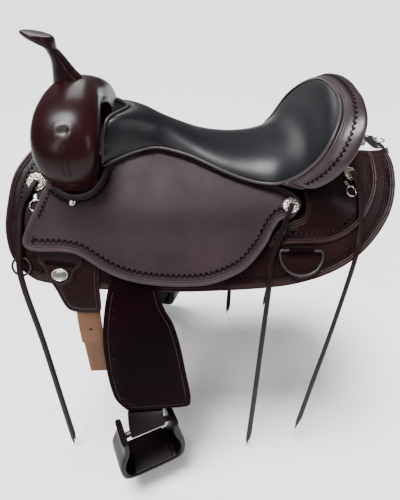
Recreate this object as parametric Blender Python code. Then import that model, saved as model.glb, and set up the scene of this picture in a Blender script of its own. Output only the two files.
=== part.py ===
"""Trail saddle: tree, leathers, padded seat, stirrups, rigging and hardware.

Units are metres. +X is the horse's tail, -Y the near side and +Z up. The world origin is
the top of the rack, or of the horse's back, under the middle of the saddle.
"""
import math

import bmesh
import bpy
from mathutils import Matrix, Vector

LEFT = -1
RIGHT = 1
SIDE_NAMES = {LEFT: "left", RIGHT: "right"}
GAP = 0.0005
CORNER = "VECTOR"

# The back that the saddle lies on: one arc per side, steeper at the withers
BACK_RADIUS = 0.43
CHANNEL_HALF = 0.025
RIDGE_DROP = 0.010
WITHER_RISE = 0.040
WITHER_REACH = 0.30
LOIN_RISE = 0.012
LOIN_REACH = 0.34
RIDGE_SLOPE = math.radians(28)
WITHER_TWIST = math.radians(6)
WITHER_TWIST_REACH = 0.28
LOIN_TWIST = math.radians(-4)
LOIN_TWIST_REACH = 0.30

# Layers, as heights over the back
FLEECE_THICKNESS = 0.012
SKIRT_THICKNESS = 0.0045
JOCKEY_LEATHER = 0.0036
FLAP_LEATHER = 0.0040
FENDER_LEATHER = 0.0040
BAR_THICKNESS = 0.0176
FENDER_PLAY = 0.0062
FLAP_PLAY = 0.0030
BAR_SEAT = 0.0008
SKIRT_BASE = FLEECE_THICKNESS + GAP
SKIRT_TOP = SKIRT_BASE + SKIRT_THICKNESS
BAR_BASE = SKIRT_TOP + GAP
BAR_TOP = BAR_BASE + BAR_THICKNESS
JOCKEY_BASE = SKIRT_TOP + GAP
JOCKEY_BAR_BASE = BAR_TOP + BAR_SEAT
JOCKEY_BAR_TOP = JOCKEY_BAR_BASE + JOCKEY_LEATHER
FENDER_BASE = SKIRT_TOP + FENDER_PLAY
FLAP_BASE = FENDER_BASE + FENDER_LEATHER + FLAP_PLAY
FLAP_BAR_BASE = BAR_TOP + BAR_SEAT
FLAP_TOP = FLAP_BASE + FLAP_LEATHER
FLAP_BAR_TOP = FLAP_BAR_BASE + FLAP_LEATHER

# Where the leathers ride up over the bars of the tree
BAR_FULL = 0.112
BAR_CLEAR = 0.150
BAR_FRONT = -0.258
BAR_REAR = 0.215
RIDE_MARGIN = 0.014
GRID_CUTS = 9
GRID_STEP = (BAR_REAR - BAR_FRONT + 2 * RIDE_MARGIN) / GRID_CUTS
RISE_FRONT = BAR_FRONT - RIDE_MARGIN - GRID_STEP
RISE_REAR = BAR_REAR + RIDE_MARGIN + GRID_STEP

GRID_X = [RISE_FRONT + GRID_STEP * (step / 2 - 1) for step in range(3)]
GRID_X += [RISE_FRONT + GRID_STEP * step for step in range(1, GRID_CUTS + 4)]
GRID_S = [0.0, 0.037, 0.075, BAR_FULL, 0.131, BAR_CLEAR, 0.183, 0.216, 0.247, 0.272]

# Cut outlines of the flat leathers, as (along the back, down the side)
SKIRT_EDGE = 0.004
SKIRT_OUTLINE = [
    (-0.298, SKIRT_EDGE, CORNER), (-0.329, 0.063), (-0.341, 0.120), (-0.346, 0.170), (-0.338, 0.212),
    (-0.312, 0.239), (-0.272, 0.247), (-0.120, 0.247), (0.020, 0.247), (0.105, 0.246),
    (0.160, 0.242), (0.215, 0.230), (0.262, 0.209), (0.300, 0.178), (0.332, 0.136),
    (0.350, 0.090), (0.358, 0.040), (0.355, SKIRT_EDGE, CORNER),
]
FLEECE_INSET = 0.004
FLAP_OUTLINE = [
    (-0.266, 0.080), (-0.286, 0.118), (-0.304, 0.155), (-0.313, 0.187), (-0.290, 0.191),
    (-0.246, 0.188), (-0.222, 0.190), (-0.204, 0.198), (-0.178, 0.212), (-0.151, 0.223),
    (-0.111, 0.231), (-0.060, 0.235), (-0.018, 0.235), (0.010, 0.232), (0.038, 0.224),
    (0.067, 0.211), (0.088, 0.193), (0.108, 0.170), (0.120, 0.150), (0.134, 0.134),
    (0.152, 0.132), (0.168, 0.118), (0.170, 0.106), (0.150, 0.092), (0.116, 0.080),
    (0.071, 0.065), (0.038, 0.050), (0.010, 0.036), (-0.029, 0.016), (-0.060, 0.004),
    (-0.080, 0.001), (-0.096, 0.004), (-0.121, 0.013), (-0.155, 0.032), (-0.172, 0.044),
    (-0.176, 0.066), (-0.196, 0.092), (-0.226, 0.101), (-0.252, 0.094),
]
JOCKEY_OUTLINE = [
    (0.178, 0.060), (0.178, 0.126), (0.146, 0.138), (0.112, 0.171), (0.160, 0.174),
    (0.206, 0.176), (0.232, 0.173), (0.258, 0.163), (0.284, 0.143), (0.304, 0.115),
    (0.319, 0.080), (0.325, 0.040), (0.323, 0.010), (0.290, 0.004), (0.262, 0.020),
    (0.215, 0.045),
]
BAR_OUTLINE = [
    (BAR_FRONT, 0.040), (BAR_FRONT - 0.006, 0.070), (BAR_FRONT, 0.100), (-0.150, BAR_FULL),
    (0.130, BAR_FULL), (BAR_REAR, 0.100), (BAR_REAR + 0.006, 0.070), (BAR_REAR, 0.040),
    (0.120, 0.046), (0.020, 0.052), (-0.080, 0.046), (-0.150, 0.034),
]
PLATE_OUTLINE = [
    (-0.262, 0.156), (-0.279, 0.200), (-0.276, 0.235), (-0.264, 0.258), (-0.252, 0.282),
    (-0.238, 0.291), (-0.204, 0.290), (-0.195, 0.280), (-0.197, 0.240), (-0.197, 0.156),
]
TAB_OUTLINE = [
    (-0.290, 0.172), (-0.291, 0.200), (-0.280, 0.231), (-0.256, 0.247), (-0.233, 0.232),
    (-0.217, 0.202), (-0.218, 0.172),
]
TAB_SLOT = [(-0.279, 0.205), (-0.227, 0.205), (-0.227, 0.213), (-0.279, 0.213)]
TAB_THICKNESS = 0.0030

# Fork and swell, as (inner point, outer point, half length) from the middle to the foot
FORK_X = -0.222
FORK_SECTIONS = [
    ((0.000, 0.083), (0.000, 0.145), 0.045),
    ((0.040, 0.081), (0.052, 0.139), 0.050),
    ((0.068, 0.074), (0.106, 0.121), 0.054),
    ((0.084, 0.062), (0.146, 0.088), 0.055),
    ((0.092, 0.045), (0.161, 0.049), 0.052),
    ((0.090, 0.031), (0.152, 0.015), 0.047),
    ((0.084, 0.019), (0.129, -0.011), 0.040),
]
COVER_LEATHER = 0.0030
FOOT_GAP = 0.0010
COVER_WRAP = math.radians(128)
COVER_SIDES = 11

# Horn, as (x, z, half length, half width, tilt in degrees) from the base to the cap
HORN_SECTIONS = [
    (-0.230, 0.120, 0.0290, 0.0250, 10),
    (-0.232, 0.147, 0.0240, 0.0215, 18),
    (-0.240, 0.166, 0.0180, 0.0180, 28),
    (-0.250, 0.185, 0.0140, 0.0160, 30),
    (-0.258, 0.196, 0.0150, 0.0180, 22),
    (-0.266, 0.202, 0.0255, 0.0270, 14),
    (-0.268, 0.208, 0.0275, 0.0290, 12),
    (-0.269, 0.213, 0.0250, 0.0270, 12),
]
HORN_LEATHER = 0.0025
HORN_SIDES = 12
HORN_FOOT = 0.006

# Seat, as (middle x, middle z, edge x, edge y, edge z, crown power) from fork to cantle
SEAT_ROWS = [
    (-0.128, 0.094, -0.174, 0.087, 0.016, 6.0),
    (-0.118, 0.093, -0.155, 0.079, 0.022, 5.0),
    (-0.098, 0.087, -0.121, 0.062, 0.030, 3.6),
    (-0.072, 0.075, -0.080, 0.051, 0.034, 2.6),
    (-0.027, 0.055, -0.029, 0.064, 0.026, 2.6),
    (0.005, 0.042, 0.005, 0.079, 0.016, 2.8),
    (0.037, 0.034, 0.038, 0.095, 0.005, 3.0),
    (0.068, 0.031, 0.071, 0.108, -0.004, 3.0),
    (0.100, 0.032, 0.102, 0.119, -0.008, 3.0),
    (0.130, 0.036, 0.130, 0.130, -0.004, 3.0),
    (0.160, 0.043, 0.153, 0.144, 0.013, 2.6),
    (0.182, 0.056, 0.171, 0.150, 0.031, 2.2),
    (0.198, 0.074, 0.187, 0.154, 0.054, 2.2),
    (0.209, 0.093, 0.201, 0.146, 0.077, 2.2),
    (0.217, 0.109, 0.216, 0.124, 0.099, 2.2),
    (0.224, 0.122, 0.226, 0.094, 0.115, 2.2),
    (0.229, 0.133, 0.230, 0.060, 0.126, 2.2),
]
SEAT_STEPS = 14
CUSHION_MIDDLE = 0.013
CUSHION_EDGE = 0.0050
GROUND_THICKNESS = 0.0061
CANTLE_THICKNESS = 0.010
CANTLE_LEATHER = 0.0030
CANTLE_FIRST_ROW = 11

# Cantle roll, as (outer x, y, z) for the seat rows that it edges, from the near end up
ROLL_FIRST_ROW = 9
ROLL_OUTER = [
    (0.158, 0.146, -0.006), (0.182, 0.164, 0.000), (0.207, 0.174, 0.022),
    (0.227, 0.177, 0.052), (0.243, 0.166, 0.083), (0.254, 0.142, 0.109),
    (0.260, 0.100, 0.128), (0.262, 0.060, 0.136),
]
ROLL_THICKNESS = 0.009
ROLL_START = 0.0062
ROLL_SIDES = 10

# Stirrup leather and fender, hung from the bar
FENDER_X = -0.125
FENDER_TOP = 0.128
FENDER_HINGE_TILT = math.radians(62)
FENDER_BEND_START = 0.128
FENDER_BEND_RADIUS = 0.30
FENDER_HANG = math.radians(82)
HANG_STEPS = 80
FENDER_REACH = BAR_FULL + GAP - FENDER_TOP
FENDER_OUTLINE = [
    (-0.150, 0.016), (-0.140, -0.004), (-0.134, -0.0125), (FENDER_X, FENDER_REACH),
    (-0.116, -0.0125), (-0.110, -0.004), (-0.100, 0.016), (-0.096, 0.050), (-0.088, 0.100),
    (-0.080, 0.150), (-0.064, 0.190), (-0.055, 0.240), (-0.047, 0.300), (-0.038, 0.352),
    (-0.035, 0.386), (-0.046, 0.394), (-0.110, 0.397), (-0.156, 0.398), (-0.166, 0.391),
    (-0.182, 0.365), (-0.189, 0.320), (-0.191, 0.270), (-0.189, 0.210), (-0.180, 0.150),
    (-0.168, 0.100), (-0.156, 0.050),
]
FENDER_CUTS = [0.03, 0.06, 0.09, 0.12, 0.15, 0.18, 0.21, 0.24, 0.33]
STRAP_HALF = 0.036
STRAP_THICKNESS = 0.0035
STRAP_TOP = 0.235
STRAP_FRONT_END = 0.403
STRAP_MEET = 0.425
STRAP_CLOSE = 0.35
STRAP_FALL_STEPS = 5
STRAP_ROUND_STEPS = 11
TWIST_START = 0.399
TWIST_END = 0.433
BOLT_DROP = 0.449
BOLT_RADIUS = 0.0065
BOLT_SIDES = 16
BOLT_CLEARANCE = 0.0005
BOLT_END_GAP = 0.0013
STIRRUP_YAW = math.radians(22)
STIRRUP_DEPTH = 0.064
STIRRUP_WALL = 0.013
STIRRUP_TOP_HALF = 0.047
STIRRUP_FOOT_HALF = 0.060
STIRRUP_HEIGHT = 0.104
STIRRUP_EAR = 0.016
STIRRUP_KNEE = 0.62
STIRRUP_CORNER = 0.006
STIRRUP_TREAD_HALF = 0.034
STIRRUP_ROUNDING = 0.004

# Hardware places, as (along the back, down the side)
FRONT_CONCHO = (-0.293, 0.076)
MID_CONCHO = (0.152, 0.112)
REAR_CONCHO = (0.271, 0.058)
FRONT_CLIP = (-0.294, 0.108)
REAR_CLIP = (0.262, 0.084)
FORK_SCREW = (-0.226, 0.108)
BREAST_RING = (-0.322, 0.208)
REAR_DEE = (0.170, 0.186)
FRONT_CONCHO_RADIUS = 0.0165
CONCHO_RADIUS = 0.0145
CONCHO_THICKNESS = 0.0035
CONCHO_SEAT = 0.0008
RING_SEAT = 0.0003
SCREW_RADIUS = 0.0060
SCREW_THICKNESS = 0.0030
SCREW_SEAT = 0.0008
CLIP_RADIUS = 0.0100
CLIP_WIRE = 0.0013
CLIP_SEAT = 0.0007
CLIP_POINTS = 10
RING_RADIUS = 0.0160
RING_WIRE = 0.0020
RING_POINTS = 16
DEE_HALF = 0.036
DEE_WIRE = 0.0024
DEE_DEPTH = 0.044
KEEPER_RADIUS = 0.0050
KEEPER_HALF = 0.020
KEEPER_SIDES = 12
KEEPER_SEAT = 0.0010
PLATE_X = 0.343
CRUPPER_HALF_WIDTH = 0.036
CRUPPER_HALF_LENGTH = 0.012
CRUPPER_THICKNESS = 0.0020
CRUPPER_SEAT = 0.0014
CRUPPER_DEE_RADIUS = 0.0120
CRUPPER_DEE_SHIFT = 0.004
CRUPPER_WIRE = 0.0016

# Latigo and off billet, hung behind the rigging plate
LATIGO_X = -0.212
LATIGO_HALF = 0.021
LATIGO_THICKNESS = 0.0035
LATIGO_DROP = 0.0028
LATIGO_TOP = 0.256
LATIGO_TURN = 0.286
LATIGO_LENGTH = {LEFT: 0.160, RIGHT: 0.130}
LATIGO_SLOPE = math.radians(70)
LATIGO_DROOP = math.radians(6)
LATIGO_STEPS = 8

# Saddle strings, as (start, leather under it, points over the leathers, points of the free hang)
STRING_RADIUS = 0.0035
STRING_CUTS = 5
STRING_CLEAR = 0.0022
STRING_SEAT = 0.0004
STRING_LEVEL = 0.022
STRING_ROUTES = {
    "front_string": (
        FRONT_CONCHO, "skirt",
        [(-0.318, 0.130, "skirt"), (-0.321, 0.185, "ring"), (-0.323, 0.245, "ring")],
        [(-0.322, 0.196, -0.300), (-0.322, 0.199, -0.480), (-0.323, 0.200, -0.670)]),
    "mid_string": (
        MID_CONCHO, "flap",
        [(0.132, 0.156, "flap"), (0.115, 0.200, "jockey"), (0.110, 0.250, "skirt")],
        [(0.108, 0.226, -0.300), (0.106, 0.228, -0.480), (0.103, 0.229, -0.660)]),
    "rear_string": (
        REAR_CONCHO, "jockey",
        [(0.280, 0.110, "jockey"), (0.272, 0.166, "jockey"), (0.260, 0.214, "skirt")],
        [(0.248, 0.212, -0.300), (0.234, 0.215, -0.460), (0.221, 0.217, -0.620)]),
}

BROWN = (0.060, 0.020, 0.022)
MAUVE = (0.095, 0.052, 0.056)
BLACK = (0.010, 0.010, 0.012)
SILVER = (0.72, 0.70, 0.66)
TAN = (0.52, 0.28, 0.13)
WOOL = (0.62, 0.56, 0.46)
WOOD = (0.50, 0.38, 0.24)


def clear_scene():
    """Remove every object of the start-up scene."""
    for item in list(bpy.data.objects):
        bpy.data.objects.remove(item, do_unlink=True)


def make_collection(name):
    """Make a collection in the scene and return it."""
    group = bpy.data.collections.new(name)
    bpy.context.scene.collection.children.link(group)
    return group


def make_material(name, colour, roughness, metallic=0.0):
    """Make a Principled material with one colour."""
    material = bpy.data.materials.new(name)
    material.use_nodes = True
    shader = material.node_tree.nodes["Principled BSDF"]
    shader.inputs["Base Color"].default_value = (*colour, 1.0)
    shader.inputs["Roughness"].default_value = roughness
    shader.inputs["Metallic"].default_value = metallic
    return material


def ridge_height(x):
    """Return the height of the back's ridge at x."""
    if x < 0:
        return WITHER_RISE * (x / WITHER_REACH) ** 2 - RIDGE_DROP
    return LOIN_RISE * (x / LOIN_REACH) ** 2 - RIDGE_DROP


def ridge_slope(x):
    """Return the slope of the back's side at the ridge."""
    if x < 0:
        return RIDGE_SLOPE + WITHER_TWIST * (x / WITHER_TWIST_REACH) ** 2
    return RIDGE_SLOPE + LOIN_TWIST * (x / LOIN_TWIST_REACH) ** 2


def back_point(x, down, height, side):
    """Return the world point at x, a distance down the side and a height over the back."""
    start = ridge_slope(x)
    angle = start + down / BACK_RADIUS
    out = CHANNEL_HALF + BACK_RADIUS * (math.sin(angle) - math.sin(start)) + height * math.sin(angle)
    drop = BACK_RADIUS * (math.cos(start) - math.cos(angle))
    return Vector((x, side * out, ridge_height(x) - drop + height * math.cos(angle)))


def height_over_back(x, out, height):
    """Return the world height of the point at x and out that is a height over the back."""
    start = ridge_slope(x)
    angle = math.asin((out - CHANNEL_HALF + BACK_RADIUS * math.sin(start)) / (BACK_RADIUS + height))
    return ridge_height(x) - BACK_RADIUS * (math.cos(start) - math.cos(angle)) + height * math.cos(angle)


def bar_share(x, down):
    """Return how far a leather rides on the bar here, from 0 to 1."""
    front = (x - RISE_FRONT) / (BAR_FRONT - RIDE_MARGIN - RISE_FRONT)
    rear = (RISE_REAR - x) / (RISE_REAR - BAR_REAR - RIDE_MARGIN)
    side = (BAR_CLEAR - down) / (BAR_CLEAR - BAR_FULL)
    return max(0.0, min(1.0, front, rear)) * max(0.0, min(1.0, side))


def face_outwards(body):
    """Turn every face of a closed body outwards."""
    bmesh.ops.recalc_face_normals(body, faces=body.faces)
    if body.calc_volume(signed=True) < 0:
        bmesh.ops.reverse_faces(body, faces=body.faces)


def link_mesh(name, body, group, material, smooth=True):
    """Make a mesh object from a bmesh, with faces out, and free the bmesh."""
    face_outwards(body)
    for face in body.faces:
        face.smooth = smooth
    mesh = bpy.data.meshes.new(name)
    body.to_mesh(mesh)
    body.free()
    item = bpy.data.objects.new(name, mesh)
    item.data.materials.append(material)
    group.objects.link(item)
    return item


def flat_blank(outline, thickness, holes=()):
    """Return a bmesh of a flat outline with rounded corners, from 0 up to its thickness."""
    curve = bpy.data.curves.new("blank", "CURVE")
    curve.dimensions = "2D"
    curve.fill_mode = "BOTH"
    curve.extrude = thickness / 2
    curve.resolution_u = 2
    curve.render_resolution_u = 0
    for points, usual in [(outline, "AUTO")] + [(hole, CORNER) for hole in holes]:
        spline = curve.splines.new("BEZIER")
        spline.bezier_points.add(len(points) - 1)
        spline.use_cyclic_u = True
        for knot, (x, y, *kind) in zip(spline.bezier_points, points):
            knot.co = (x, y, 0)
            knot.handle_left_type = kind[0] if kind else usual
            knot.handle_right_type = kind[0] if kind else usual
    holder = bpy.data.objects.new("blank", curve)
    bpy.context.scene.collection.objects.link(holder)
    bpy.context.view_layer.update()
    mesh = bpy.data.meshes.new_from_object(holder.evaluated_get(bpy.context.evaluated_depsgraph_get()))
    bpy.data.objects.remove(holder, do_unlink=True)
    body = bmesh.new()
    body.from_mesh(mesh)
    bpy.data.meshes.remove(mesh)
    bmesh.ops.remove_doubles(body, verts=body.verts, dist=0.00001)
    bmesh.ops.translate(body, verts=body.verts, vec=(0, 0, thickness / 2))
    return body


def slice_blank(body, lines_x, lines_y):
    """Cut a flat blank along lines of x and y, so that it can bend, and split it in triangles."""
    bmesh.ops.dissolve_limit(body, angle_limit=0.02, verts=body.verts, edges=body.edges,
                             delimit={"NORMAL"})
    for axis, lines in ((0, lines_x), (1, lines_y)):
        normal = Vector((1 - axis, axis, 0))
        for place in lines:
            geometry = body.verts[:] + body.edges[:] + body.faces[:]
            bmesh.ops.bisect_plane(body, geom=geometry, dist=0.00001, plane_co=normal * place,
                                   plane_no=normal)
    bmesh.ops.triangulate(body, faces=body.faces, quad_method="FIXED", ngon_method="EAR_CLIP")


def draped_panel(name, outline, layer, side, group, material, holes=()):
    """Cut a leather from its outline and lay it on the back at its layer.

    layer is (thickness, height off the bars, height on the bars).
    """
    thickness, base, bar_base = layer
    body = flat_blank(outline, thickness, holes)
    slice_blank(body, GRID_X, GRID_S)
    for vert in body.verts:
        x, down, rise = vert.co
        height = base + (bar_base - base) * bar_share(x, down) + rise
        vert.co = back_point(x, down, height, side)
    return link_mesh(name, body, group, material, smooth=False)


def loft(rings, caps=True, turn=None):
    """Return a bmesh skinned over closed rings of points.

    With turn, each quad is split in two, and from that step on along the other diagonal, so
    that the two faces of a shell, and the shells that lie on it, are split alike.
    """
    body = bmesh.new()
    rows = [[body.verts.new(point) for point in ring] for ring in rings]
    count = len(rows[0])
    for lower, upper in zip(rows, rows[1:]):
        for step in range(count):
            following = (step + 1) % count
            a, b, c, d = lower[step], lower[following], upper[following], upper[step]
            if turn is None:
                body.faces.new((a, b, c, d))
            elif step < turn:
                body.faces.new((a, b, c))
                body.faces.new((a, c, d))
            else:
                body.faces.new((b, c, d))
                body.faces.new((b, d, a))
    if caps:
        body.faces.new(rows[0])
        body.faces.new(rows[-1])
    return body


def smooth_rows(rows, cuts):
    """Return rows of numbers with Catmull-Rom rows put between them."""
    result = []
    for index in range(len(rows) - 1):
        before = rows[max(index - 1, 0)]
        start = rows[index]
        end = rows[index + 1]
        after = rows[min(index + 2, len(rows) - 1)]
        for cut in range(cuts):
            share = cut / cuts
            result.append(tuple(
                0.5 * (2 * b + (c - a) * share + (2 * a - 5 * b + 4 * c - d) * share ** 2
                       + (3 * b - a - 3 * c + d) * share ** 3)
                for a, b, c, d in zip(before, start, end, after)))
    result.append(tuple(rows[-1]))
    return result


def fork_rows():
    """Return the fork's sections from the right foot to the left foot, as flat rows."""
    half = [(*inner, *outer, length) for inner, outer, length in FORK_SECTIONS]
    left = [(-a, b, -c, d, length) for a, b, c, d, length in half]
    return smooth_rows(left[::-1] + half[1:], 2)


def fork_ring(row, shrink, start, end, count):
    """Return points on a fork section, shrunk all round, from one angle to another."""
    inner = Vector((0, row[0], row[1]))
    outer = Vector((0, row[2], row[3]))
    middle = (inner + outer) / 2
    radial = outer - inner
    reach = radial.length / 2 - shrink
    radial.normalize()
    points = []
    for step in range(count):
        angle = start + (end - start) * step / (count - 1)
        side = math.copysign(abs(math.sin(angle)) ** 0.85, math.sin(angle))
        out = math.copysign(abs(math.cos(angle)) ** 0.85, math.cos(angle))
        points.append(middle + radial * (out * reach)
                      + Vector((FORK_X + side * (row[4] - shrink), 0, 0)))
    return points


def make_fork(group, materials):
    """Make the tree's fork and the swell cover that wraps it."""
    rows = fork_rows()
    core = []
    for row in rows:
        outside = fork_ring(row, COVER_LEATHER + GAP, -COVER_WRAP, COVER_WRAP, COVER_SIDES)
        inside = fork_ring(row, COVER_LEATHER + GAP, COVER_WRAP, 2 * math.pi - COVER_WRAP, 5)
        core.append(outside + inside[1:-1])
    feet = [[Vector((p.x, p.y, height_over_back(p.x, abs(p.y), BAR_TOP + FOOT_GAP))) for p in ring]
            for ring in (core[0], core[-1])]
    core = [feet[0]] + core + [feet[1]]
    link_mesh("tree_fork", loft(core, turn=len(core[0])), group, materials["wood"])
    cover = []
    for row in rows:
        outside = fork_ring(row, 0, -COVER_WRAP, COVER_WRAP, COVER_SIDES)
        inside = fork_ring(row, COVER_LEATHER, -COVER_WRAP, COVER_WRAP, COVER_SIDES)
        cover.append(outside + inside[::-1])
    link_mesh("swell_cover", loft(cover, turn=COVER_SIDES), group, materials["brown"])


def horn_body(shrink, sections, lowered=0.0):
    """Return a bmesh of the horn's sections, shrunk all round and lowered at the top."""
    rings = []
    rows = [list(row) for row in smooth_rows(sections, 2)]
    rows[-1][1] -= lowered
    for x, z, length, width, tilt in rows:
        turn = math.radians(tilt)
        along = Vector((math.cos(turn), 0, math.sin(turn) * -1))
        centre = Vector((x, 0, z))
        ring = []
        for step in range(HORN_SIDES):
            angle = 2 * math.pi * step / HORN_SIDES
            ring.append(centre + along * (math.cos(angle) * (length - shrink))
                        + Vector((0, math.sin(angle) * (width - shrink), 0)))
        rings.append(ring)
    return loft(rings)


def cut_away(item, cutter, cutters):
    """Cut one closed mesh out of another with a live Boolean."""
    cutters.objects.link(cutter)
    cutter.display_type = "WIRE"
    cutter.hide_render = True
    change = item.modifiers.new("cut", "BOOLEAN")
    change.operation = "DIFFERENCE"
    change.solver = "EXACT"
    change.object = cutter


def plain_object(name, body):
    """Make a mesh object from a bmesh without linking it."""
    face_outwards(body)
    mesh = bpy.data.meshes.new(name)
    body.to_mesh(mesh)
    body.free()
    return bpy.data.objects.new(name, mesh)


def make_horn(group, cutters, materials):
    """Make the steel horn and its leather, both standing on the swell cover."""
    cover = link_mesh("horn_cover", horn_body(0, HORN_SECTIONS), group, materials["brown"])
    hollow = horn_body(HORN_LEATHER, HORN_SECTIONS[:-1])
    for vert in hollow.verts:
        if vert.co.z < HORN_SECTIONS[0][1] + HORN_FOOT:
            vert.co.z -= HORN_FOOT
    cut_away(cover, plain_object("horn_hollow", hollow), cutters)
    core = link_mesh("horn_core", horn_body(HORN_LEATHER + GAP, HORN_SECTIONS[:-1], GAP), group,
                     materials["steel"])
    for item in (cover, core):
        rings = [fork_ring(row, -GAP, -COVER_WRAP, COVER_WRAP, COVER_SIDES) for row in fork_rows()]
        cut_away(item, plain_object(item.name + "_seat", loft(rings)), cutters)


def seat_point(row, share):
    """Return the seat's top at a row and a share of its half width."""
    middle_x, middle_z, edge_x, edge_y, edge_z, power = row
    size = abs(share)
    return Vector((middle_x + (edge_x - middle_x) * size ** 2.5, edge_y * share,
                   middle_z + (edge_z - middle_z) * size ** power))


def seat_grid(cuts=2):
    """Return the seat's top points and their normals, row by row."""
    rows = smooth_rows(SEAT_ROWS, cuts)
    shares = [math.sin(math.pi / 2 * step / (SEAT_STEPS / 2)) for step in
              range(-SEAT_STEPS // 2, SEAT_STEPS // 2 + 1)]
    points = [[seat_point(row, share) for share in shares] for row in rows]
    normals = []
    for index, line in enumerate(points):
        before = points[max(index - 1, 0)]
        after = points[min(index + 1, len(points) - 1)]
        found = []
        for step in range(len(line)):
            along = after[step] - before[step]
            across = line[min(step + 1, len(line) - 1)] - line[max(step - 1, 0)]
            found.append(along.cross(across).normalized())
        normals.append(found)
    return points, normals


def cushion_depth(index, step):
    """Return the cushion's thickness at a row and a step across it."""
    last = 2 * (len(SEAT_ROWS) - 1)
    edge = min(step, SEAT_STEPS - step, last - index, index + 2) / 3
    share = min(1.0, edge)
    return CUSHION_EDGE + (CUSHION_MIDDLE - CUSHION_EDGE) * math.sin(math.pi / 2 * share)


def cap_strip(body, first_ring, size):
    """Replace a ring's cap by quads, so that a curved end stays true."""
    verts = body.verts
    verts.ensure_lookup_table()
    start = first_ring * size
    half = size // 2
    for step in range(half - 1):
        body.faces.new((verts[start + step], verts[start + step + 1],
                        verts[start + size - 2 - step], verts[start + size - 1 - step]))


def make_shell(name, first, last, inset, top, bottom, group, material):
    """Make a named shell under the seat's top."""
    points, normals = seat_grid()
    rings = []
    steps = range(inset, SEAT_STEPS + 1 - inset)
    for index in range(first, last + 1):
        upper = [points[index][step] - normals[index][step] * top for step in steps]
        lower = [points[index][step] - normals[index][step] * bottom(index, step)
                 for step in steps]
        rings.append(upper + lower[::-1])
    body = loft(rings, caps=False, turn=len(steps))
    size = 2 * len(steps)
    cap_strip(body, 0, size)
    cap_strip(body, len(rings) - 1, size)
    return link_mesh(name, body, group, material)


def make_seat(group, materials):
    """Make the padded seat, the ground seat under it and the cantle behind it."""
    last = 2 * (len(SEAT_ROWS) - 1)
    make_shell("seat_cushion", 0, last, 0, 0.0, cushion_depth, group, materials["black"])
    ground = CUSHION_MIDDLE + GAP
    make_shell("ground_seat", 3, 2 * CANTLE_FIRST_ROW - 1, 3, ground,
               lambda index, step: ground + GROUND_THICKNESS, group, materials["brown"])
    first = 2 * CANTLE_FIRST_ROW
    make_shell("tree_cantle", first, last - 1, 2, ground,
               lambda index, step: ground + CANTLE_THICKNESS, group, materials["wood"])
    back = ground + CANTLE_THICKNESS + GAP
    make_shell("cantle_back", first, last - 2, 2, back,
               lambda index, step: back + CANTLE_LEATHER, group, materials["brown"])


def roll_stations():
    """Return the roll's inner and outer edges from the left end to the right end."""
    rows = SEAT_ROWS[ROLL_FIRST_ROW:]
    half = []
    for row, outer in zip(rows, ROLL_OUTER):
        half.append((row[2], row[3], row[4], *outer))
    top = SEAT_ROWS[-1]
    half.append((top[0] + 0.001, 0.028, top[1] - 0.002, 0.2640, 0.028, 0.1395))
    left = [(a, -b, c, d, -e, f) for a, b, c, d, e, f in half]
    middle = [(top[0] + 0.001, 0.0, top[1], 0.2645, 0.0, 0.1405)]
    return smooth_rows(left + middle + half[::-1], 2)


def make_roll(group, materials):
    """Make the rolled leather edge of the cantle."""
    stations = roll_stations()
    rings = []
    for index, row in enumerate(stations):
        inner = Vector(row[:3])
        outer = Vector(row[3:])
        before = Vector(stations[max(index - 1, 0)][:3])
        after = Vector(stations[min(index + 1, len(stations) - 1)][:3])
        width = outer - inner
        normal = (after - before).cross(width).normalized()
        if normal.z < 0:
            normal.negate()
        inner = inner + width.normalized() * ROLL_START
        width = outer - inner
        share = min(1.0, 0.45 + 0.2 * min(index, len(stations) - 1 - index))
        half = ROLL_THICKNESS / 2 * share
        centre = (inner + outer) / 2 - normal * half
        ring = []
        for step in range(ROLL_SIDES):
            angle = 2 * math.pi * step / ROLL_SIDES
            across = math.copysign(abs(math.cos(angle)) ** 0.6, math.cos(angle))
            rise = math.copysign(abs(math.sin(angle)) ** 0.8, math.sin(angle))
            ring.append(centre + width * (across / 2) + normal * (rise * half))
        rings.append(ring)
    link_mesh("cantle_roll", loft(rings), group, materials["brown"])


def hang_frame(length, height):
    """Return (out, up, slope) on the fender's line, a length below the bar's slot."""
    slope = ridge_slope(FENDER_X) + FENDER_TOP / BACK_RADIUS
    point = back_point(FENDER_X, FENDER_TOP, FENDER_BASE, RIGHT)
    out = point.y
    up = point.z
    part = length / HANG_STEPS
    for step in range(HANG_STEPS):
        radius = BACK_RADIUS if step * part < FENDER_BEND_START else FENDER_BEND_RADIUS
        slope = min(FENDER_HANG, slope + part / radius)
        out += math.cos(slope) * part
        up -= math.sin(slope) * part
    return out + height * math.sin(slope), up + height * math.cos(slope), slope


def make_pivot(name, frame, group, parent=None):
    """Make an empty on a joint's axis, its X axis along that axis, and return it."""
    pivot = bpy.data.objects.new(name, None)
    pivot.empty_display_size = CONCHO_RADIUS
    group.objects.link(pivot)
    if parent:
        pivot.parent = parent
        frame = parent.matrix_basis.inverted() @ frame
    pivot.matrix_basis = frame
    return pivot


def ride_pivot(item, pivot):
    """Parent an object that is modelled in the world frame to a joint's empty."""
    item.parent = pivot
    item.matrix_parent_inverse = pivot.matrix_basis.inverted()


def fender_hinge(side):
    """Return the fender's hinge: its place in the bar's slot, and X along its axis."""
    place = back_point(FENDER_X, FENDER_TOP, FENDER_BASE + FENDER_LEATHER / 2, side)
    turn = Matrix.Rotation(side * (math.pi / 2 - FENDER_HINGE_TILT), 4, "X")
    return Matrix.Translation(place) @ turn @ Matrix.Rotation(side * math.pi / 2, 4, "Z")


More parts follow.
